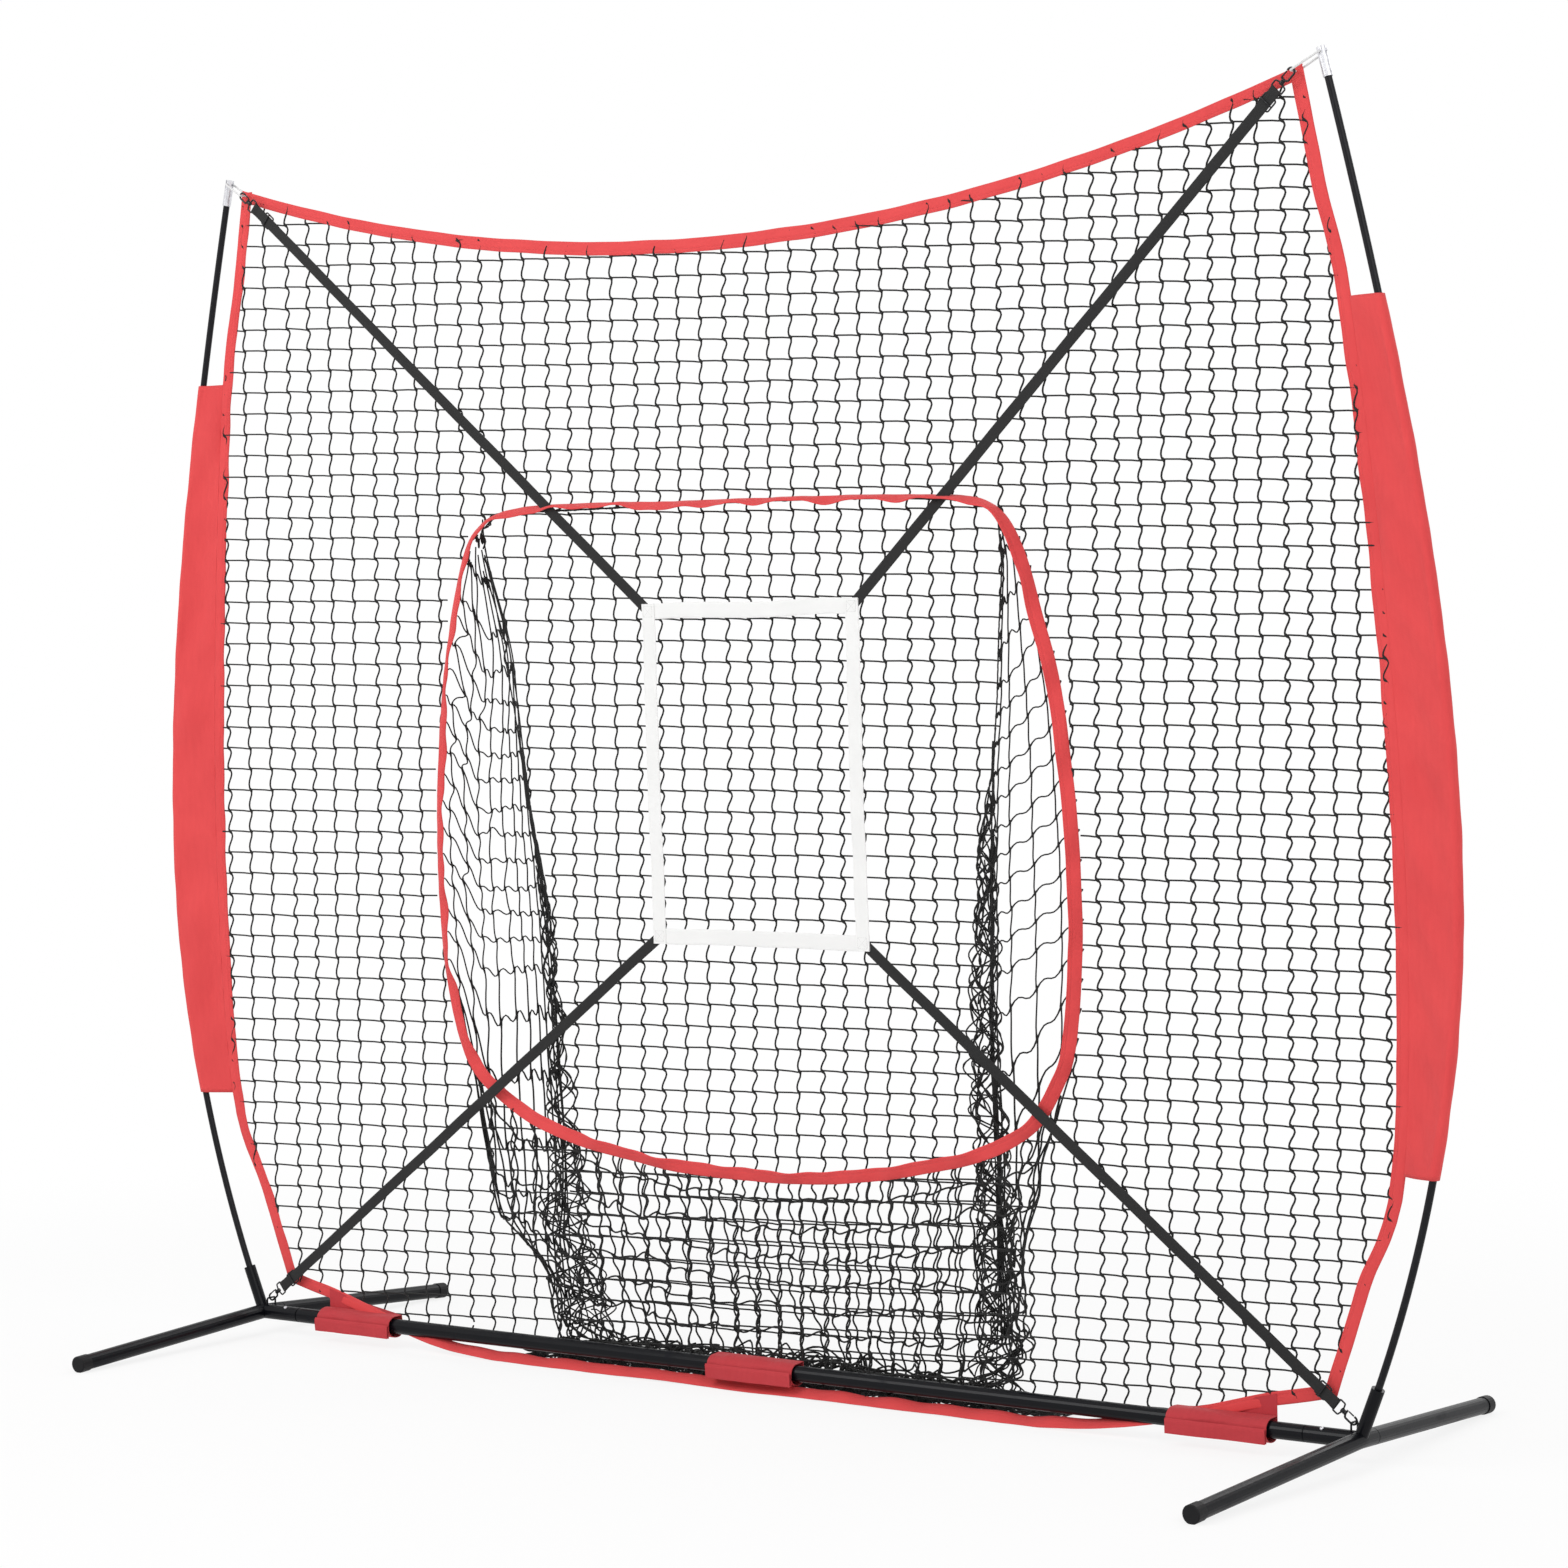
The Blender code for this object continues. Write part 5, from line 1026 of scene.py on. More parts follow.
# %% Bind the edges
FLAP_X = 0.841      # how far the two outer flaps are from the middle
x = np.linspace(-CORNER_X, CORNER_X, 260)
bound("binding_top_tape", on_net(x, top_edge(x)), on_net(x * 0.992, top_edge(x) - TAPE), ["binding_top"], 50)


def hem_low(x):
    """The hem's folded edge, which sags between the feet and stays off the floor."""
    return np.maximum(hem_edge(x) - 0.013 * hem_slack(x), 0.0022) + 0.0010 * (1 + ripple(60, x, size=0.16))


def hem_top(x):
    """The hem's sewn edge. In the middle the hem lies down and looks narrower."""
    return hem_low(x) + TAPE * (1 - 0.45 * hem_slack(x))


x = np.linspace(-HEM_HALF, HEM_HALF, 250)
beside_flaps = ease(0.09, 0.13, np.min([np.abs(x - at) for at in (-FLAP_X, 0, FLAP_X)], 0))
bound("binding_hem_tape", on_net(x, hem_low(x), 0.034 * hem_slack(x)),
      on_net(x * 1.005, hem_top(x), HEM_FORWARD * hem_slack(x)), ["binding_hem"], 61,
      swing=(0.0002 + 0.0018 * beside_flaps)[:, None])
for side, side_name in ((-1, "left"), (1, "right")):
    z = np.linspace(0.088, CORNER_Z - 0.004, 240)
    edge_x = side_edge(z)
    bound(f"binding_{side_name}_tape", on_net(side * edge_x, z), on_net(side * (edge_x - TAPE), z),
          [f"binding_{side_name}"], 70 + side)

# %% [markdown]
# ### The mouth's tape
#
# Round the mouth the same tape doesn't lie flat. Its free edge stands forward: almost on edge along the top, by
# about 30 degrees at the sides, by less along the bottom, and turned over a little at the lower left corner. A
# tape of one even tilt would be simpler, but the real one looks narrow at the top and wide at the sides, so a
# list gives its tilt all the way round.

# %% Bind the mouth
MOUTH_POINTS = 520
# Shares of the way round from the middle of the top, clockwise, and the tilt in degrees there
TILT_AT = (0.00, 0.09, 0.13, 0.18, 0.38, 0.44, 0.55, 0.585, 0.625, 0.66, 0.70, 0.84, 0.88, 0.92, 1.00)
TILT = (74, 74, 58, 32, 28, 18, 20, 6, -22, 12, 31, 33, 60, 74, 74)
flat_in, flat_out = round_mouth(MOUTH_POINTS, 0.0), round_mouth(MOUTH_POINTS, TAPE)
share = np.arange(MOUTH_POINTS) / MOUTH_POINTS
tilt = np.radians(np.interp(share, TILT_AT, TILT) + 9 * ripple(83, np.sin(share * math.tau) * 0.6,
                                                                np.cos(share * math.tau) * 0.6, size=0.12))
tilted = mix(flat_out, flat_in, np.cos(tilt)[:, None])
bound("binding_mouth_tape", on_net(flat_out[:, 0], flat_out[:, 1]),
      on_net(tilted[:, 0], tilted[:, 1], TAPE * np.sin(tilt)), ["binding_mouth"], 80, ring=True, swing=0.0036,
      thick=0.0034)

# %% [markdown]
# ## The bow poles and their sleeves
#
# Each pole is a fibreglass rod, bent into a bow by the net. The red sleeve takes its middle stretch. It is a
# flat tube of cloth, sewn to the side binding and open at both ends, so the pole fills one side of it and the
# rest hangs as a double flap. The cloth is pulled along its seam and slack beside the pole, which gives the
# long slanting creases. Rows of rings follow the pole, and creases push both layers the same way, so that they
# never cross.

# %% The bow of the poles
HUB_X, HUB_Z, TUBE_R = 1.065, 0.0372, 0.0127
POLE_R, POLE_TOP = 0.0055, Vector((1.0504, -0.0628, 2.0086))
BOW_X, BOW_Z, LEAN_OUT, LEAN_IN = 1.232, 0.830, math.radians(23.0), math.radians(13.7)
FERRULE_R, SLEEVE_LOW, SLEEVE_HIGH = 0.0068, 0.418, 1.660


def pole_x(height):
    """Half width of the bow: two cubics that meet where it stands furthest out."""
    low = np.asarray(height) < BOW_Z
    rise = np.where(low, BOW_Z - HUB_Z, POLE_TOP.z - BOW_Z)
    t = (height - np.where(low, HUB_Z, BOW_Z)) / rise
    x0, slope0 = np.where(low, HUB_X, BOW_X), np.where(low, math.tan(LEAN_OUT), 0)
    x1, slope1 = np.where(low, BOW_X, POLE_TOP.x), np.where(low, 0, -math.tan(LEAN_IN))
    return ((2 * t ** 3 - 3 * t ** 2 + 1) * x0 + (t ** 3 - 2 * t ** 2 + t) * rise * slope0
            + (3 * t ** 2 - 2 * t ** 3) * x1 + (t ** 3 - t ** 2) * rise * slope1)


def pole_at(side, height):
    """The middle of a pole at a height. It also leans forward, evenly from the hub to the tip."""
    height = np.asarray(height, float)
    return np.stack([side * pole_x(height), POLE_TOP.y * (height - HUB_Z) / (POLE_TOP.z - HUB_Z), height], -1)


print(f"the bow is {2 * float(pole_x(BOW_Z)):.3f} m wide where it stands furthest out")

# %% Sleeves
CLOTH_T, SEAM_ROOM = 0.0007, 0.0017


def sleeve(side, side_name, seed):
    """Rings from the seam round the pole and back to the seam."""
    heights = np.linspace(SLEEVE_LOW, SLEEVE_HIGH, 170)
    seams = on_net(side * (side_edge(heights) - 0.001), heights)
    poles = pole_at(side, seams[:, 2])
    out = (poles - seams) * (1, 1, 0)
    web = np.linalg.norm(out, axis=1)
    out = unit(out)
    across = np.stack([-out[:, 1], out[:, 0], np.zeros(len(out))], -1)
    radius = FERRULE_R + 0.0021
    shares = np.linspace(0, 1, 14)[:-1]
    turn = np.radians(np.linspace(96, -96, 13))
    u = seams[:, 2]
    crease = np.stack([0.0044 * ripple(seed, u + 0.5 * s * web, s * web * 1.4, size=0.075, count=7)
                       + 0.0030 * ripple(seed + 1, u - 0.8 * s * web, size=0.16) for s in shares], 1)
    crease *= np.sin(np.clip(shares, 0, 1) * math.pi)[None] ** 0.7 * ease(0.018, 0.055, web)[:, None]

    def layer(sign):
        """One layer of cloth from the seam to the pole, a little hollow, with the creases of both layers."""
        near, far = seams + across * sign * SEAM_ROOM, poles + across * sign * radius
        hollows = [sign * -(0.0018 * math.sin(share * math.pi)) for share in shares]
        return np.stack([mix(near, far, share) + across * (hollow + crease[:, k, None])
                         for k, (share, hollow) in enumerate(zip(shares, hollows))], 1)

    snug = 1 + 0.05 * ripple(seed + 2, u, size=0.05)[:, None]
    round_pole = (poles[:, None] + out[:, None] * (radius * np.cos(turn) * snug)[..., None]
                  + across[:, None] * (radius * np.sin(turn) * snug)[..., None])
    points = np.concatenate([layer(1), round_pole, layer(-1)[:, ::-1]], 1)
    if side > 0:
        points = points[:, ::-1]
    edge = np.concatenate([points, points[:, :1]], 1).mean(0)
    v = np.concatenate([[0], np.cumsum(np.linalg.norm(np.diff(edge, axis=0), axis=1))])
    shape = Shape().lattice(points, arc_length(seams), v, around=True)
    obj = shape.piece(f"sleeve_{side_name}_cloth", red, "frame", [f"sleeve_{side_name}"])
    wall = obj.modifiers.new("cloth", "SOLIDIFY")
    wall.thickness, wall.offset = CLOTH_T, 1.0
    float(arc_length(seams)[-1])


for side, side_name in ((-1, "left"), (1, "right")):
    sleeve(side, side_name, 140 + 7 * side)

# %% [markdown]
# ## Flaps round the base bar
#
# Three cloth loops sewn to the hem hold the net down on the bar, and an outer flap closes over each. The loop
# belongs to the net. The outer flap opens forward, so it is a piece of its own that rides on its own body. A
# cloth simulation could wrap both round the bar. But a strip whose path is drawn in side view, and then given
# width and a little waviness, keeps the gaps between bar, loop and flap that the joint needs.

# %% A band of cloth
FLAP_WIDTH, FLAP_T = 0.165, 0.0012
FLAP_ROOM, FLAP_RISE, THREAD_T, SEAT = 0.0050, 0.0040, 0.0034, 0.0003


def cloth_band(shape, path, x, width, seed, wave=0.0010, stations=34, follow=None):
    """A strip of cloth along a path of (y, height), as wide as width along X. Its start may follow an edge."""
    path = finely(through([(y, z, 0) for y, z in path], 6)[:, :2], 0.004)
    ahead = unit(np.gradient(path, axis=0))
    normal = np.stack([-ahead[:, 1], ahead[:, 0]], -1)
    across = np.linspace(-width / 2, width / 2, stations)
    s, w = np.meshgrid(arc_length(path), across, indexing="ij")
    push = wave * (0.6 + ripple(seed, s, w, size=0.05)) * np.minimum(1, s * 90)
    push = np.maximum(push, 0)
    spots = path[:, None] + normal[:, None] * push[..., None]
    skin = normal[:, None] * FLAP_T / 2
    rows = np.concatenate([spots + skin, (spots - skin)[:, ::-1]], 1)
    xs = np.concatenate([w, w[:, ::-1]], 1) + x
    if follow:
        sewn = 1 - ease(0, 0.03, np.concatenate([s, s[:, ::-1]], 1))
        rows[..., 1] += (follow(xs) - follow(x)) * sewn
    points = np.concatenate([xs[..., None], rows], -1)
    v = np.concatenate([across, across[::-1] + 0.001, [across[0]]])
    return shape.lattice(points[:, ::-1], arc_length(path), v, around=True, caps=True), path


def before_net(height):
    """The y of cloth that lies against the netting on the pitcher's side."""
    return NET_FOOT_Y - NET_LEAN * height - THREAD_T / 2 - SEAT - FLAP_T / 2


def loop_edge(x):
    """The height of a loop's sewn edge, which follows the hem but never sinks below the flap's hinge."""
    return np.maximum(HINGE_Z, hem_top(x) - FLAP_RISE)


print(f"each flap is {FLAP_WIDTH * 1000:.0f} mm wide, its cloth {FLAP_T * 1000:.1f} mm thick")

# %% Wrap the bar
HINGE_Z = HUB_Z + TUBE_R + FLAP_RISE
HINGE_Y = before_net(HINGE_Z) - FLAP_T / 2 - 2 * SEAT
reach = TUBE_R + FLAP_ROOM
rear_y = before_net(HUB_Z)
wrap = [(HINGE_Y, HINGE_Z), (0.0030, HINGE_Z + 0.0016), (-0.0080, HINGE_Z), (-0.0168, HINGE_Z - 0.0065),
        (-reach - 0.0014, HUB_Z + 0.0030), (-reach - 0.0020, HUB_Z - 0.0080), (-reach - 0.0014, HUB_Z - 0.0190)]
# The loops and the outer flaps take the darker copy of the red cloth, which is painted shade.
for side, side_name in ((-1, "left"), (0, "centre"), (1, "right")):
    x = side * FLAP_X
    loop_top = float(loop_edge(x))
    loop = [(before_net(loop_top), loop_top), (rear_y, HUB_Z), (rear_y - 0.0012, HUB_Z - 0.0130),
            (rear_y - 0.0080, HUB_Z - reach - 0.0004), (0, HUB_Z - reach - 0.0010),
            (-0.0095, HUB_Z - reach + 0.0015), (-reach + 0.0010, HUB_Z - 0.0080),
            (-reach + 0.0006, HUB_Z + 0.0020)]
    inner, path = cloth_band(Shape(), loop, x, FLAP_WIDTH, 200 + side, wave=0.0004, follow=loop_edge)
    inner = inner.piece(f"flap_loop_{side_name}_cloth", shaded_flap_red, "frame", [f"flap_loop_{side_name}"])
    float(arc_length(path)[-1])
    outer, path = cloth_band(Shape(), wrap, x, FLAP_WIDTH, 210 + side, wave=0.0022)
    hem = [(y - 0.0034, height) for y, height in wrap[-3:]]
    hem = [(hem[0][0] + 0.0016, hem[0][1] + 0.0004), *hem]
    outer, _ = cloth_band(outer, hem, x, FLAP_WIDTH, 210 + side, wave=0.0012)
    outer = outer.piece(f"flap_{side_name}_cloth", shaded_flap_red, f"flap_{side_name}", [f"flap_{side_name}"])
    float(arc_length(path)[-1])

# %% [markdown]
# ## The strike zone
#
# Four lengths of white webbing make the rectangle. At each corner one lies over the other, and a sewn box with
# a cross holds them. A single plate with a hole would lose the overlaps, the rounded edges and the slight bow
# that webbing takes between its corners.

# %% Strike zone
ZONE_W, ZONE_H, ZONE_X, ZONE_Z, ZONE_BAND = 0.394, 0.521, 0.0345, 0.9850, 0.025
WEB_T = 0.0011
ZONE_OFF = 0.0150
ZONE_REAR, ZONE_FRONT = ZONE_OFF - 0.0005, ZONE_OFF + 0.0007      # the level bands lie behind the upright ones

white_thread = Finish("white_thread", "white_webbing", Specular_IOR_Level=0.3)
along, across = white_thread.cloth()
plies = (along + across * 2).wave(0.0008)
white_thread.set("Base Color", white_thread.mix(plies, shade(205, 205, 204), shade(240, 240, 239)))
white_thread.set("Roughness", 0.6 + white_thread.noise(0.01) * 0.15)


def zone_band(shape, start, end, off, seed):
    """A length of webbing between two places on the net, calm at its sewn ends."""
    start, end = np.array(start), np.array(end)
    places = mix(start, end, np.linspace(0, 1, 60)[:, None])
    run = arc_length(places)
    calm = np.minimum(1, np.minimum(run, run[-1] - run) / 0.05)
    side = unit(end - start)[::-1] * (1, -1)
    places = places + side * (0.0012 * ripple(seed, run, size=0.16) * calm)[:, None]
    path = on_net(places[:, 0], places[:, 1], off + 0.0006 * ripple(seed + 1, run, size=0.09) * calm)
    section = flat_section(ZONE_BAND, WEB_T, 6)
    return shape.sweep(path, section, FRONT)


zone_left, zone_right = ZONE_X - ZONE_W / 2, ZONE_X + ZONE_W / 2
zone_low, zone_high = ZONE_Z - ZONE_H / 2, ZONE_Z + ZONE_H / 2
reach = ZONE_BAND / 2
zone = Shape()
for height, seed in ((zone_low, 230), (zone_high, 232)):
    zone_band(zone, (zone_left - reach, height), (zone_right + reach, height), ZONE_REAR, seed)
for x, seed in ((zone_left, 234), (zone_right, 236)):
    zone_band(zone, (x, zone_low - reach), (x, zone_high + reach), ZONE_FRONT, seed)
zone.piece("strike_zone_webbing", white_web, "frame", ["strike_zone"])

# %% Sewn boxes with a cross
BOX_HALF = 0.0085
sewn = Shape()
h = BOX_HALF
corners = [(-h, -h), (h, -h), (h, h), (-h, h), (-h, -h), (h, h), (h, -h), (-h, h)]
for x in (zone_left, zone_right):
    for height in (zone_low, zone_high):
        for (ax, az), (bx, bz) in zip(corners, corners[1:]):
            length = math.hypot(bx - ax, bz - az)
            for start in np.arange(0.0006, length - 0.0022, 0.0034):
                ends = [(x + mix(ax, bx, at / length), height + mix(az, bz, at / length))
                        for at in (start, start + 0.0013, start + 0.0026)]
                for off, lift in ((ZONE_FRONT + WEB_T / 2, 1), (ZONE_REAR - WEB_T / 2, -1)):
                    path = np.array([on_net(px, pz, off + lift * bow) for (px, pz), bow in
                                     zip(ends, (-0.0002, 0.0002, -0.0002))])
                    sewn.sweep(path, circle(0.0004, 4), FRONT)
sewn.piece("strike_zone_stitches", white_thread, "frame")

# %% [markdown]
# ## Straps, swivels, glides and hooks
#
# Each strap is black webbing that starts behind a corner of the strike zone. Near its end it runs through a
# wire glide, round the eye of a swivel, and back through the glide. The hook turns in the swivel's barrel and
# its gate opens inwards. Each set could be modelled once and copied, but the four straps differ in length and
# in direction. So they are drawn in axes of their own, x along the strap and z towards the pitcher, and four
# calls place them.

# %% Axes along a strap
STRAP_W, STRAP_OFF, LAYER_T = 0.018, 0.0131, 0.0008
EYELET, LUG_X, LUG_Z, LUG_WIRE = 0.0100, 1.0530, 0.0610, 0.0032
EYE_WIRE, EYE_W, EYE_L, BARREL_D, BARREL_LEN = 0.0026, 0.0236, 0.0100, 0.0072, 0.0064
PIN_D, PIN_LEN = 0.0030, 0.0045
HOOK_WIRE, HOOK_HALF, HOOK_REACH, HOOK_NECK, HOOK_SHOULDER = 0.0032, 0.0057, 0.0170, 0.0016, 0.0042
HOOK_COLLAR, HOOK_LIP, HOOK_BEND_R, GATE_WIRE, GATE_HEEL, BITE = 0.0032, 0.0020, 0.0030, 0.0022, 0.0050, 0.0004
GLIDE_WIRE, GLIDE_L, GLIDE_BEND_R, GLIDE_BAR_BEND_R = 0.0026, 0.0200, 0.0030, 0.0014
GLIDE_FROM_EYE = {"top_left": 0.037, "top_right": 0.022, "bottom_left": 0.028, "bottom_right": 0.028}
ELASTIC_D, ELASTIC_CLEAR, ELASTIC_BEND_R = 0.0032, 0.0030, 0.0022


def rounded(points, radius, steps=5, closed=False):
    """A path with each corner turned into an arc."""
    points = [Vector(point) for point in points]
    last = len(points)
    path = []
    for i, corner in enumerate(points):
        if not closed and i in (0, last - 1):
            path.append(corner)
            continue
        before = (points[i - 1] - corner).normalized()
        after = (points[(i + 1) % last] - corner).normalized()
        half = before.angle(after) / 2
        middle = corner + (before + after).normalized() * radius / math.sin(half)
        first = corner + before * radius / math.tan(half) - middle
        final = corner + after * radius / math.tan(half) - middle
        for step in range(steps + 1):
            turn = Matrix.Rotation((math.pi - 2 * half) * step / steps, 3, first.cross(final))
            path.append(middle + turn @ first)
    return np.array(path)


print(f"a strap is {STRAP_W * 1000:.0f} mm wide, its hook {(HOOK_REACH + HOOK_HALF) * 1000:.0f} mm long")


# %% Own axes and turned forms
class Axes:
    """Three directions and an origin."""

    def __init__(self, origin, along, front):
        self.origin, self.along, self.front = origin, unit(along), unit(front)
        self.across = np.cross(self.front, self.along)

    def world(self, points):
        points = np.asarray(points, float)
        return (self.origin + points[..., :1] * self.along + points[..., 1:2] * self.across
                + points[..., 2:] * self.front)


def turned(shape, axes, profile, sides=28):
    """A lathe-turned form: (distance along, radius) pairs round the along axis."""
    turn = math.tau * np.arange(sides) / sides
    rows = np.array([[(at, radius * math.cos(a), radius * math.sin(a)) for a in turn] for at, radius in profile])
    along = arc_length(np.array(profile))
    around = np.linspace(0, math.tau * 0.004, sides + 1)
    return shape.lattice(axes.world(rows), along, around, around=True, caps=True)


def strap_axes(level, side):
    """Where the strap starts, and the axes at its swivel."""
    up = 1 if level == "top" else -1
    start = np.array((ZONE_X + side * ZONE_W / 2, ZONE_Z + up * ZONE_H / 2))
    if level == "top":
        anchor = np.array((side * (CORNER_X - EYELET), CORNER_Z - EYELET))
        held = ELASTIC_D / 2
    else:
        cos, sin = math.cos(NET_TILT), math.sin(NET_TILT)
        anchor = np.array((side * LUG_X, (LUG_Z + STRAP_OFF * sin) / cos))
        held = LUG_WIRE / 2
    bite = HOOK_REACH + HOOK_HALF - HOOK_WIRE / 2 - BITE - held
    start, anchor = on_net(*start, STRAP_OFF), on_net(*anchor, STRAP_OFF)
    along = unit(anchor - start)
    swivel = anchor - along * bite
    return Axes(swivel, along, FRONT), float(np.linalg.norm(swivel - start))


print(f"the top left strap is {strap_axes('top', -1)[1]:.3f} m long")

# %% [markdown]
# The webbing is one long strip: up the front of the strap, round the eye and back behind. The rest are wires:
# swept circles, bent as the real ones are.

# %% Strap sets
EYE_FAR = -SEAT - BARREL_LEN - EYE_L


def strap(name, axes, length, glide_at):
    """The webbing, up the front, round the eye and back, and the swivel's eye and barrel."""
    wrap = EYE_WIRE / 2 + LAYER_T / 2 + 0.0001
    turn = np.radians(np.linspace(90, -90, 9))
    tail = glide_at - 0.030
    run = np.linspace(-length, EYE_FAR - 0.016, 90)
    front = [(x, 0, LAYER_T / 2 + 0.00002) for x in run]
    near = [(x, 0, mix(LAYER_T / 2, wrap, float(ease(-0.012, -0.001, x - EYE_FAR))))
            for x in np.linspace(EYE_FAR - 0.013, EYE_FAR - 0.001, 7)]
    fold = [(EYE_FAR + wrap * math.cos(a), 0, wrap * math.sin(a)) for a in turn]
    back_near = [(x, 0, -z) for x, _, z in near[::-1]]
    back = [(x, 0, -LAYER_T / 2 - 0.00002) for x in np.linspace(EYE_FAR - 0.016, tail, 24)]
    path = np.array(front + near + fold + back_near + back)
    sag = 0.0004 * ripple(len(name) * 7, path[:, 0], size=0.12) * ease(0, 0.03, path[:, 0] + length)
    path[:, 1] += sag * ease(-0.05, -0.12, path[:, 0] - EYE_FAR)
    world = axes.world(path)
    ahead = unit(np.gradient(world, axis=0))
    rise = np.cross(ahead, np.broadcast_to(axes.across, ahead.shape))
    web = Shape().sweep(world, flat_section(STRAP_W, LAYER_T, 6), rise)
    web.piece(f"strap_{name}_webbing", black_web, "frame", [f"strap_{name}"])
    half = EYE_W / 2 - EYE_WIRE / 2
    inside = -SEAT - BARREL_LEN / 2
    ring = rounded([(inside, 0, 0), (-SEAT - BARREL_LEN, half, 0), (EYE_FAR, half, 0), (EYE_FAR, -half, 0),
                    (-SEAT - BARREL_LEN, -half, 0)], EYE_WIRE * 0.9, 5, closed=True)
    eye = Shape().sweep(axes.world(ring), circle(EYE_WIRE / 2, 12), axes.front, ring=True)
    r, far = BARREL_D / 2, -SEAT - BARREL_LEN
    turned(eye, axes, [(far, r * 0.7), (far + 0.0005, r * 0.95), (far + 0.0010, r), (-SEAT - 0.0022, r),
                       (-SEAT - 0.0019, r * 0.9), (-SEAT - 0.0014, r * 0.9), (-SEAT - 0.0011, r),
                       (-SEAT - 0.0004, r), (-SEAT, r * 0.9), (-SEAT, PIN_D / 2 + 0.0004),
                       (-SEAT - 0.0012, PIN_D / 2 + 0.0004)])
    eye.piece(f"strap_{name}_swivel", wire, "frame", [f"strap_{name}"])


def glide(name, axes, at):
    """A wire rectangle behind the strap, with a bridge over its front."""
    away = 0.0006 + SEAT + GLIDE_WIRE / 2
    half = STRAP_W / 2 + 2 * SEAT + GLIDE_WIRE / 2
    reach = GLIDE_L / 2
    place = np.array((at, 0, 0))
    ring = rounded([(-reach, -half, -away), (reach, -half, -away), (reach, half, -away), (-reach, half, -away)],
                   GLIDE_BEND_R, 6, closed=True)
    shape = Shape().sweep(axes.world(ring + place), circle(GLIDE_WIRE / 2, 12), axes.front, ring=True)
    bridge = rounded([(0, -half, -away), (0, -half, away), (0, half, away), (0, half, -away)], GLIDE_BAR_BEND_R, 5)
    shape.sweep(axes.world(bridge + place), circle(GLIDE_WIRE / 2 * 0.9, 12), axes.along)
    shape.piece(f"glide_{name}_wire", wire, f"glide_{name}", [f"glide_{name}"])


# %% Hooks and gates
def hook(name, axes, gate_side):
    """A bent wire with its collar and pin, and the gate that closes it."""
    half = HOOK_HALF
    nose = [(HOOK_REACH + half * math.sin(a), -gate_side * half * math.cos(a), 0)
            for a in np.linspace(0, math.pi, 17)]
    lip = (HOOK_REACH - HOOK_LIP, gate_side * half, 0)
    neck = (HOOK_NECK, 0, 0)
    shoulder = rounded([neck, (HOOK_SHOULDER, -gate_side * half, 0), nose[0]], HOOK_BEND_R)
    path = np.concatenate([shoulder[:-1], nose, [lip]])
    path = finely(path, 0.0007)
    shape = Shape().sweep(axes.world(path), circle(HOOK_WIRE / 2, 14), axes.front)
    r = (BARREL_D - SEAT) / 2
    turned(shape, axes, [(SEAT, r * 0.92), (SEAT + 0.0004, r), (HOOK_COLLAR - 0.0010, r),
                         (HOOK_COLLAR - 0.0002, r * 0.8), (HOOK_COLLAR, r * 0.5)])
    turned(shape, axes, [(-PIN_LEN, PIN_D / 2), (HOOK_NECK, PIN_D / 2)], 16)
    ear_end = GATE_HEEL - GATE_WIRE / 2 - SEAT - HOOK_WIRE / 2
    ear = mix(np.array(neck), np.array((ear_end, gate_side * half, 0)), np.linspace(0, 1, 6)[:, None])
    shape.sweep(axes.world(ear), circle(HOOK_WIRE / 2, 14), axes.front)
    shape.piece(f"snap_hook_{name}_wire", wire, f"hook_{name}", [f"snap_hook_{name}"])
    end = lip[0] - HOOK_WIRE / 4 - SEAT
    start = GATE_HEEL - GATE_WIRE / 2
    r = GATE_WIRE / 2
    gate = Axes(axes.world(np.array((0, gate_side * half, 0))), axes.along, axes.front)
    turned(Shape(), gate, [(start, r * 0.3), (start + 0.0002, r * 0.8), (start + 0.0006, r), (end - 0.0006, r),
                           (end - 0.0002, r * 0.8), (end, r * 0.3)], 14).piece(
        f"hook_gate_{name}_wire", wire, f"gate_{name}", [f"hook_gate_{name}"])


# %% The four sets
for level in ("top", "bottom"):
    for side, side_name in ((-1, "left"), (1, "right")):
        name = f"{level}_{side_name}"
        axes, length = strap_axes(level, side)
        glide_at = EYE_FAR - GLIDE_FROM_EYE[name]
        strap(name, axes, length, glide_at)
        glide(name, axes, glide_at)
        hook(name, axes, side)

# %% [markdown]
# ## Poles, tips and elastic
#
# The pole sections keep their line from the solid model and get a finer mesh. At the top, the elastic runs
# through the net's eyelet and the hook, and over the crown of the pole's tip. A curve with a bevel would draw
# it as well, but a sweep along a rounded path of four places gives the same round cord with the UV map that its
# braid needs.

# %% Poles, tips and elastic
SOCKET_LEN, SOCKET_DEPTH, POLE_STRAIGHT, POLE_SPLIT = 0.082, 0.055, 0.055, 1.020
TIP_D, TIP_LEN, TIP_CUP, TIP_SLOT_DEPTH, TIP_BEFORE, TIP_EASE = 0.0145, 0.044, 0.026, 0.009, 0.004, 0.030


def pole_way(side, height):
    """The direction of a pole at a height."""
    return unit(pole_at(side, height + 0.001) - pole_at(side, height - 0.001))


def rod(path, node):
    """A section of pole along a path."""
    shape = Shape().sweep(finely(np.array(path), 0.012), circle(POLE_R, 20), (0, 1, 0))
    shape.piece(f"{node}_rod", fibreglass, "frame", [node])


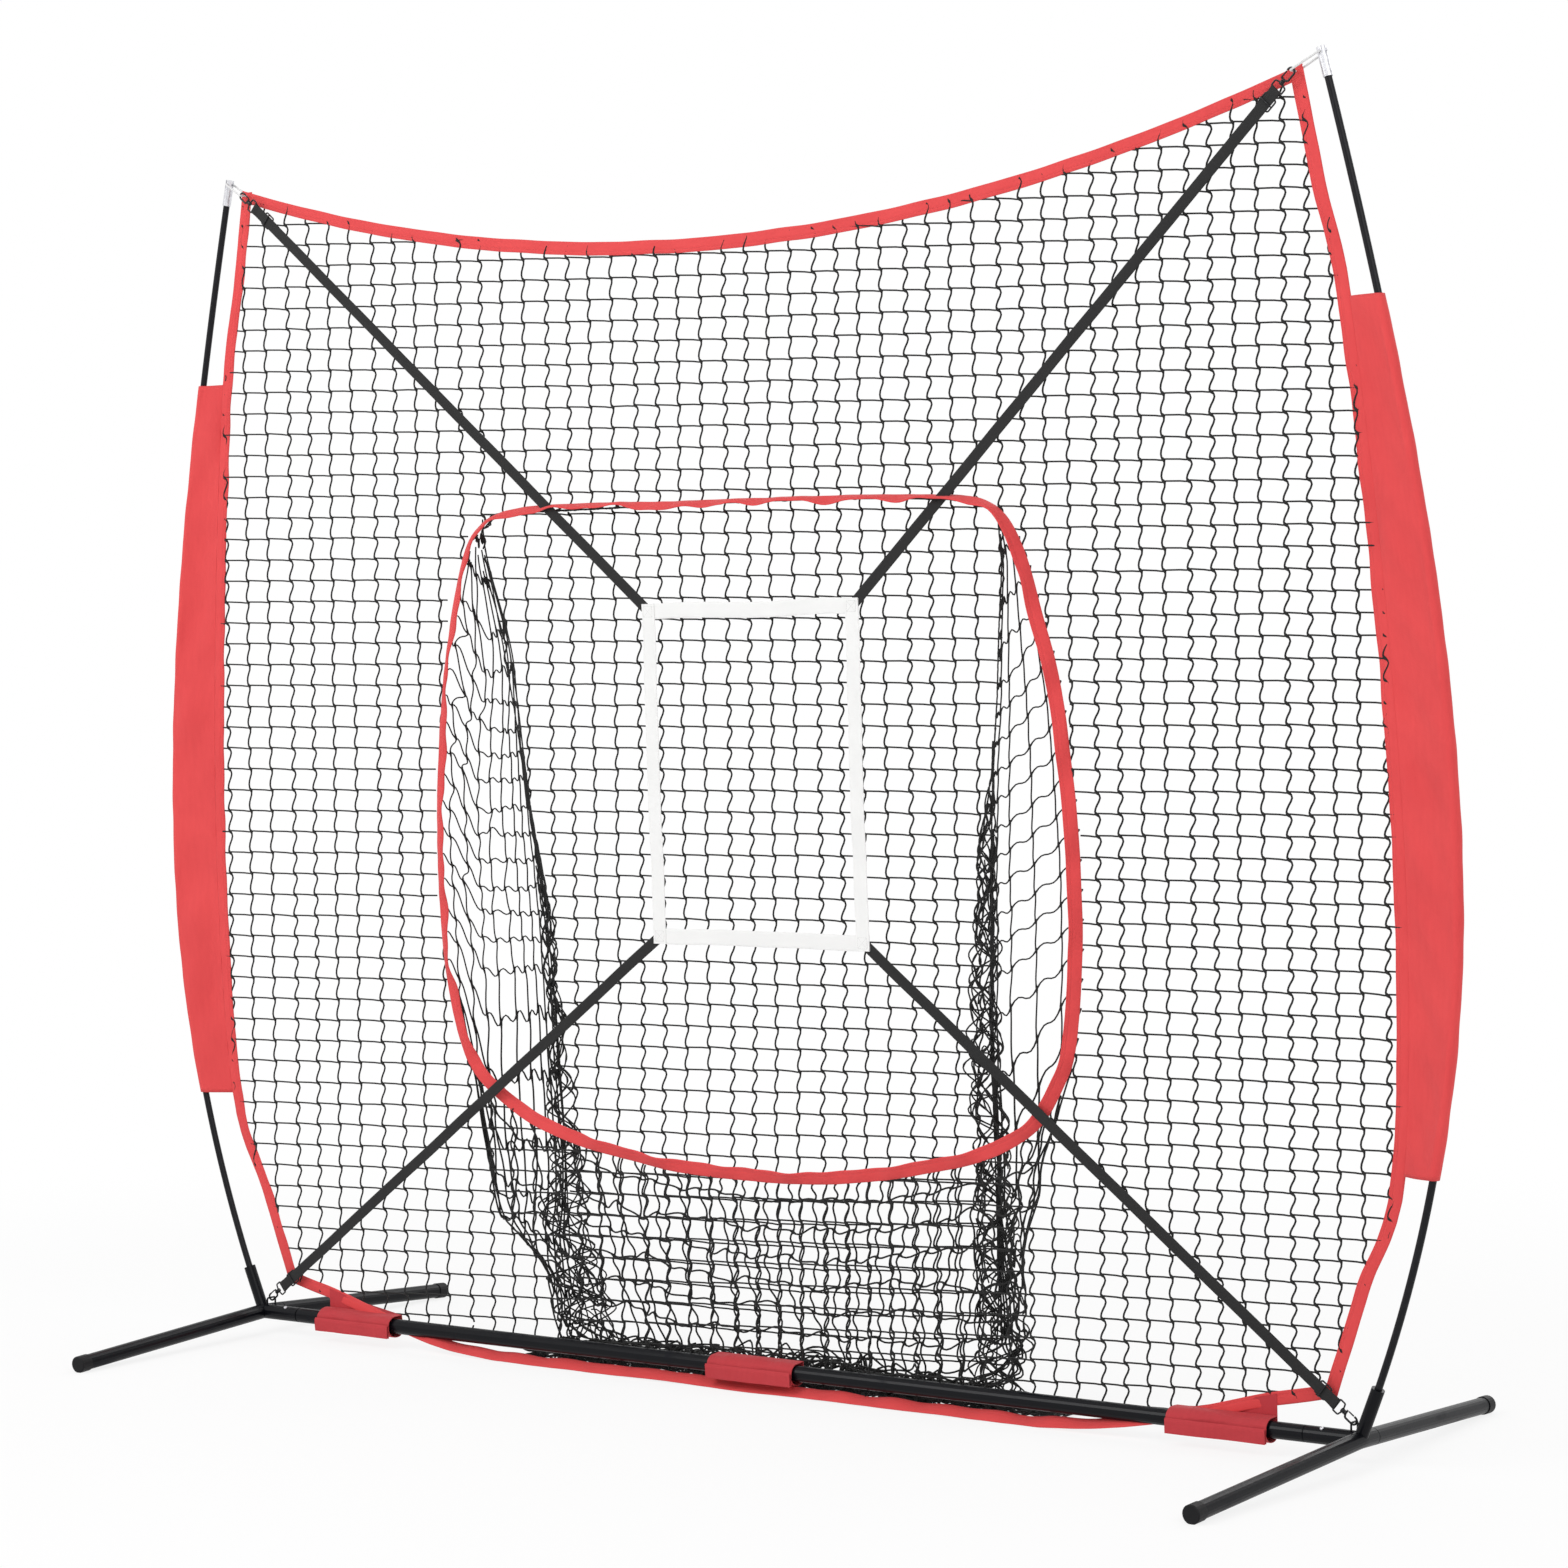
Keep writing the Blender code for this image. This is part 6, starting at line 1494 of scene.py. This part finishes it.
for side, side_name in ((-1, "left"), (1, "right")):
    foot = pole_at(side, HUB_Z) + pole_way(side, HUB_Z + SOCKET_LEN / 2) * (SOCKET_LEN - SOCKET_DEPTH + SEAT)
    run = pole_at(side, np.linspace(foot[2] + POLE_STRAIGHT, POLE_SPLIT - SEAT / 2, 60))
    rod([foot, *run], f"pole_lower_{side_name}")
    tip_way = pole_way(side, POLE_TOP.z - TIP_LEN)
    crown = pole_at(side, POLE_TOP.z)
    cup_mouth = crown - tip_way * (TIP_LEN + TIP_BEFORE)
    run = pole_at(side, np.linspace(POLE_SPLIT + SEAT / 2, cup_mouth[2] - TIP_EASE, 60))
    cup_floor = crown - tip_way * (TIP_LEN - TIP_CUP + SEAT)
    rod([*run, cup_mouth, cup_floor], f"pole_upper_{side_name}")
    across = unit(np.cross(tip_way, (1, 0, 0)))
    if across @ FRONT < 0:
        across = -across
    slot_at = crown - tip_way * (TIP_SLOT_DEPTH - SEAT - ELASTIC_D / 2)
    beside = TIP_D / 2 + 2 * SEAT + ELASTIC_D / 2
    corner = (side * (CORNER_X - EYELET), CORNER_Z - EYELET)
    front = STRAP_OFF + HOOK_WIRE / 2 + ELASTIC_CLEAR + ELASTIC_D / 2
    behind = TAPE_T / 2 + BITE + ELASTIC_D / 2
    spots = [on_net(*corner, front), slot_at + across * beside,
             slot_at - across * beside, on_net(*corner, -behind)]
    path = finely(rounded(spots, ELASTIC_BEND_R, 8, closed=True), 0.0015, ring=True)
    plane = np.cross(slot_at - on_net(*corner), FRONT)
    Shape().sweep(path, circle(ELASTIC_D / 2, 14), plane, ring=True).piece(
        f"elastic_loop_{side_name}_cord", elastic, "frame", [f"elastic_loop_{side_name}"])

# %% [markdown]
# ## The steel frame keeps its solids
#
# The feet, the bar, the caps, the buttons, the ferrules and the tips are right as solids. They could be drawn
# again, but that would only repeat the same shapes, so they get nothing but their finishes.

# %% Finishes of the solids
CAD_FINISH = {"foot_weldment": steel, "rear_leg": steel, "base_bar": steel, "end_cap": plastic,
              "snap_button": zinc, "button_spring": zinc, "pole_ferrule": zinc, "pole_tip": zinc}
kept = 0
for node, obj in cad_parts.items():
    for start, finish in CAD_FINISH.items():
        if node.startswith(start):
            obj.data.materials.clear()
            obj.data.materials.append(finish.material)
            kept += 1
print(f"{kept} solids keep their shape")
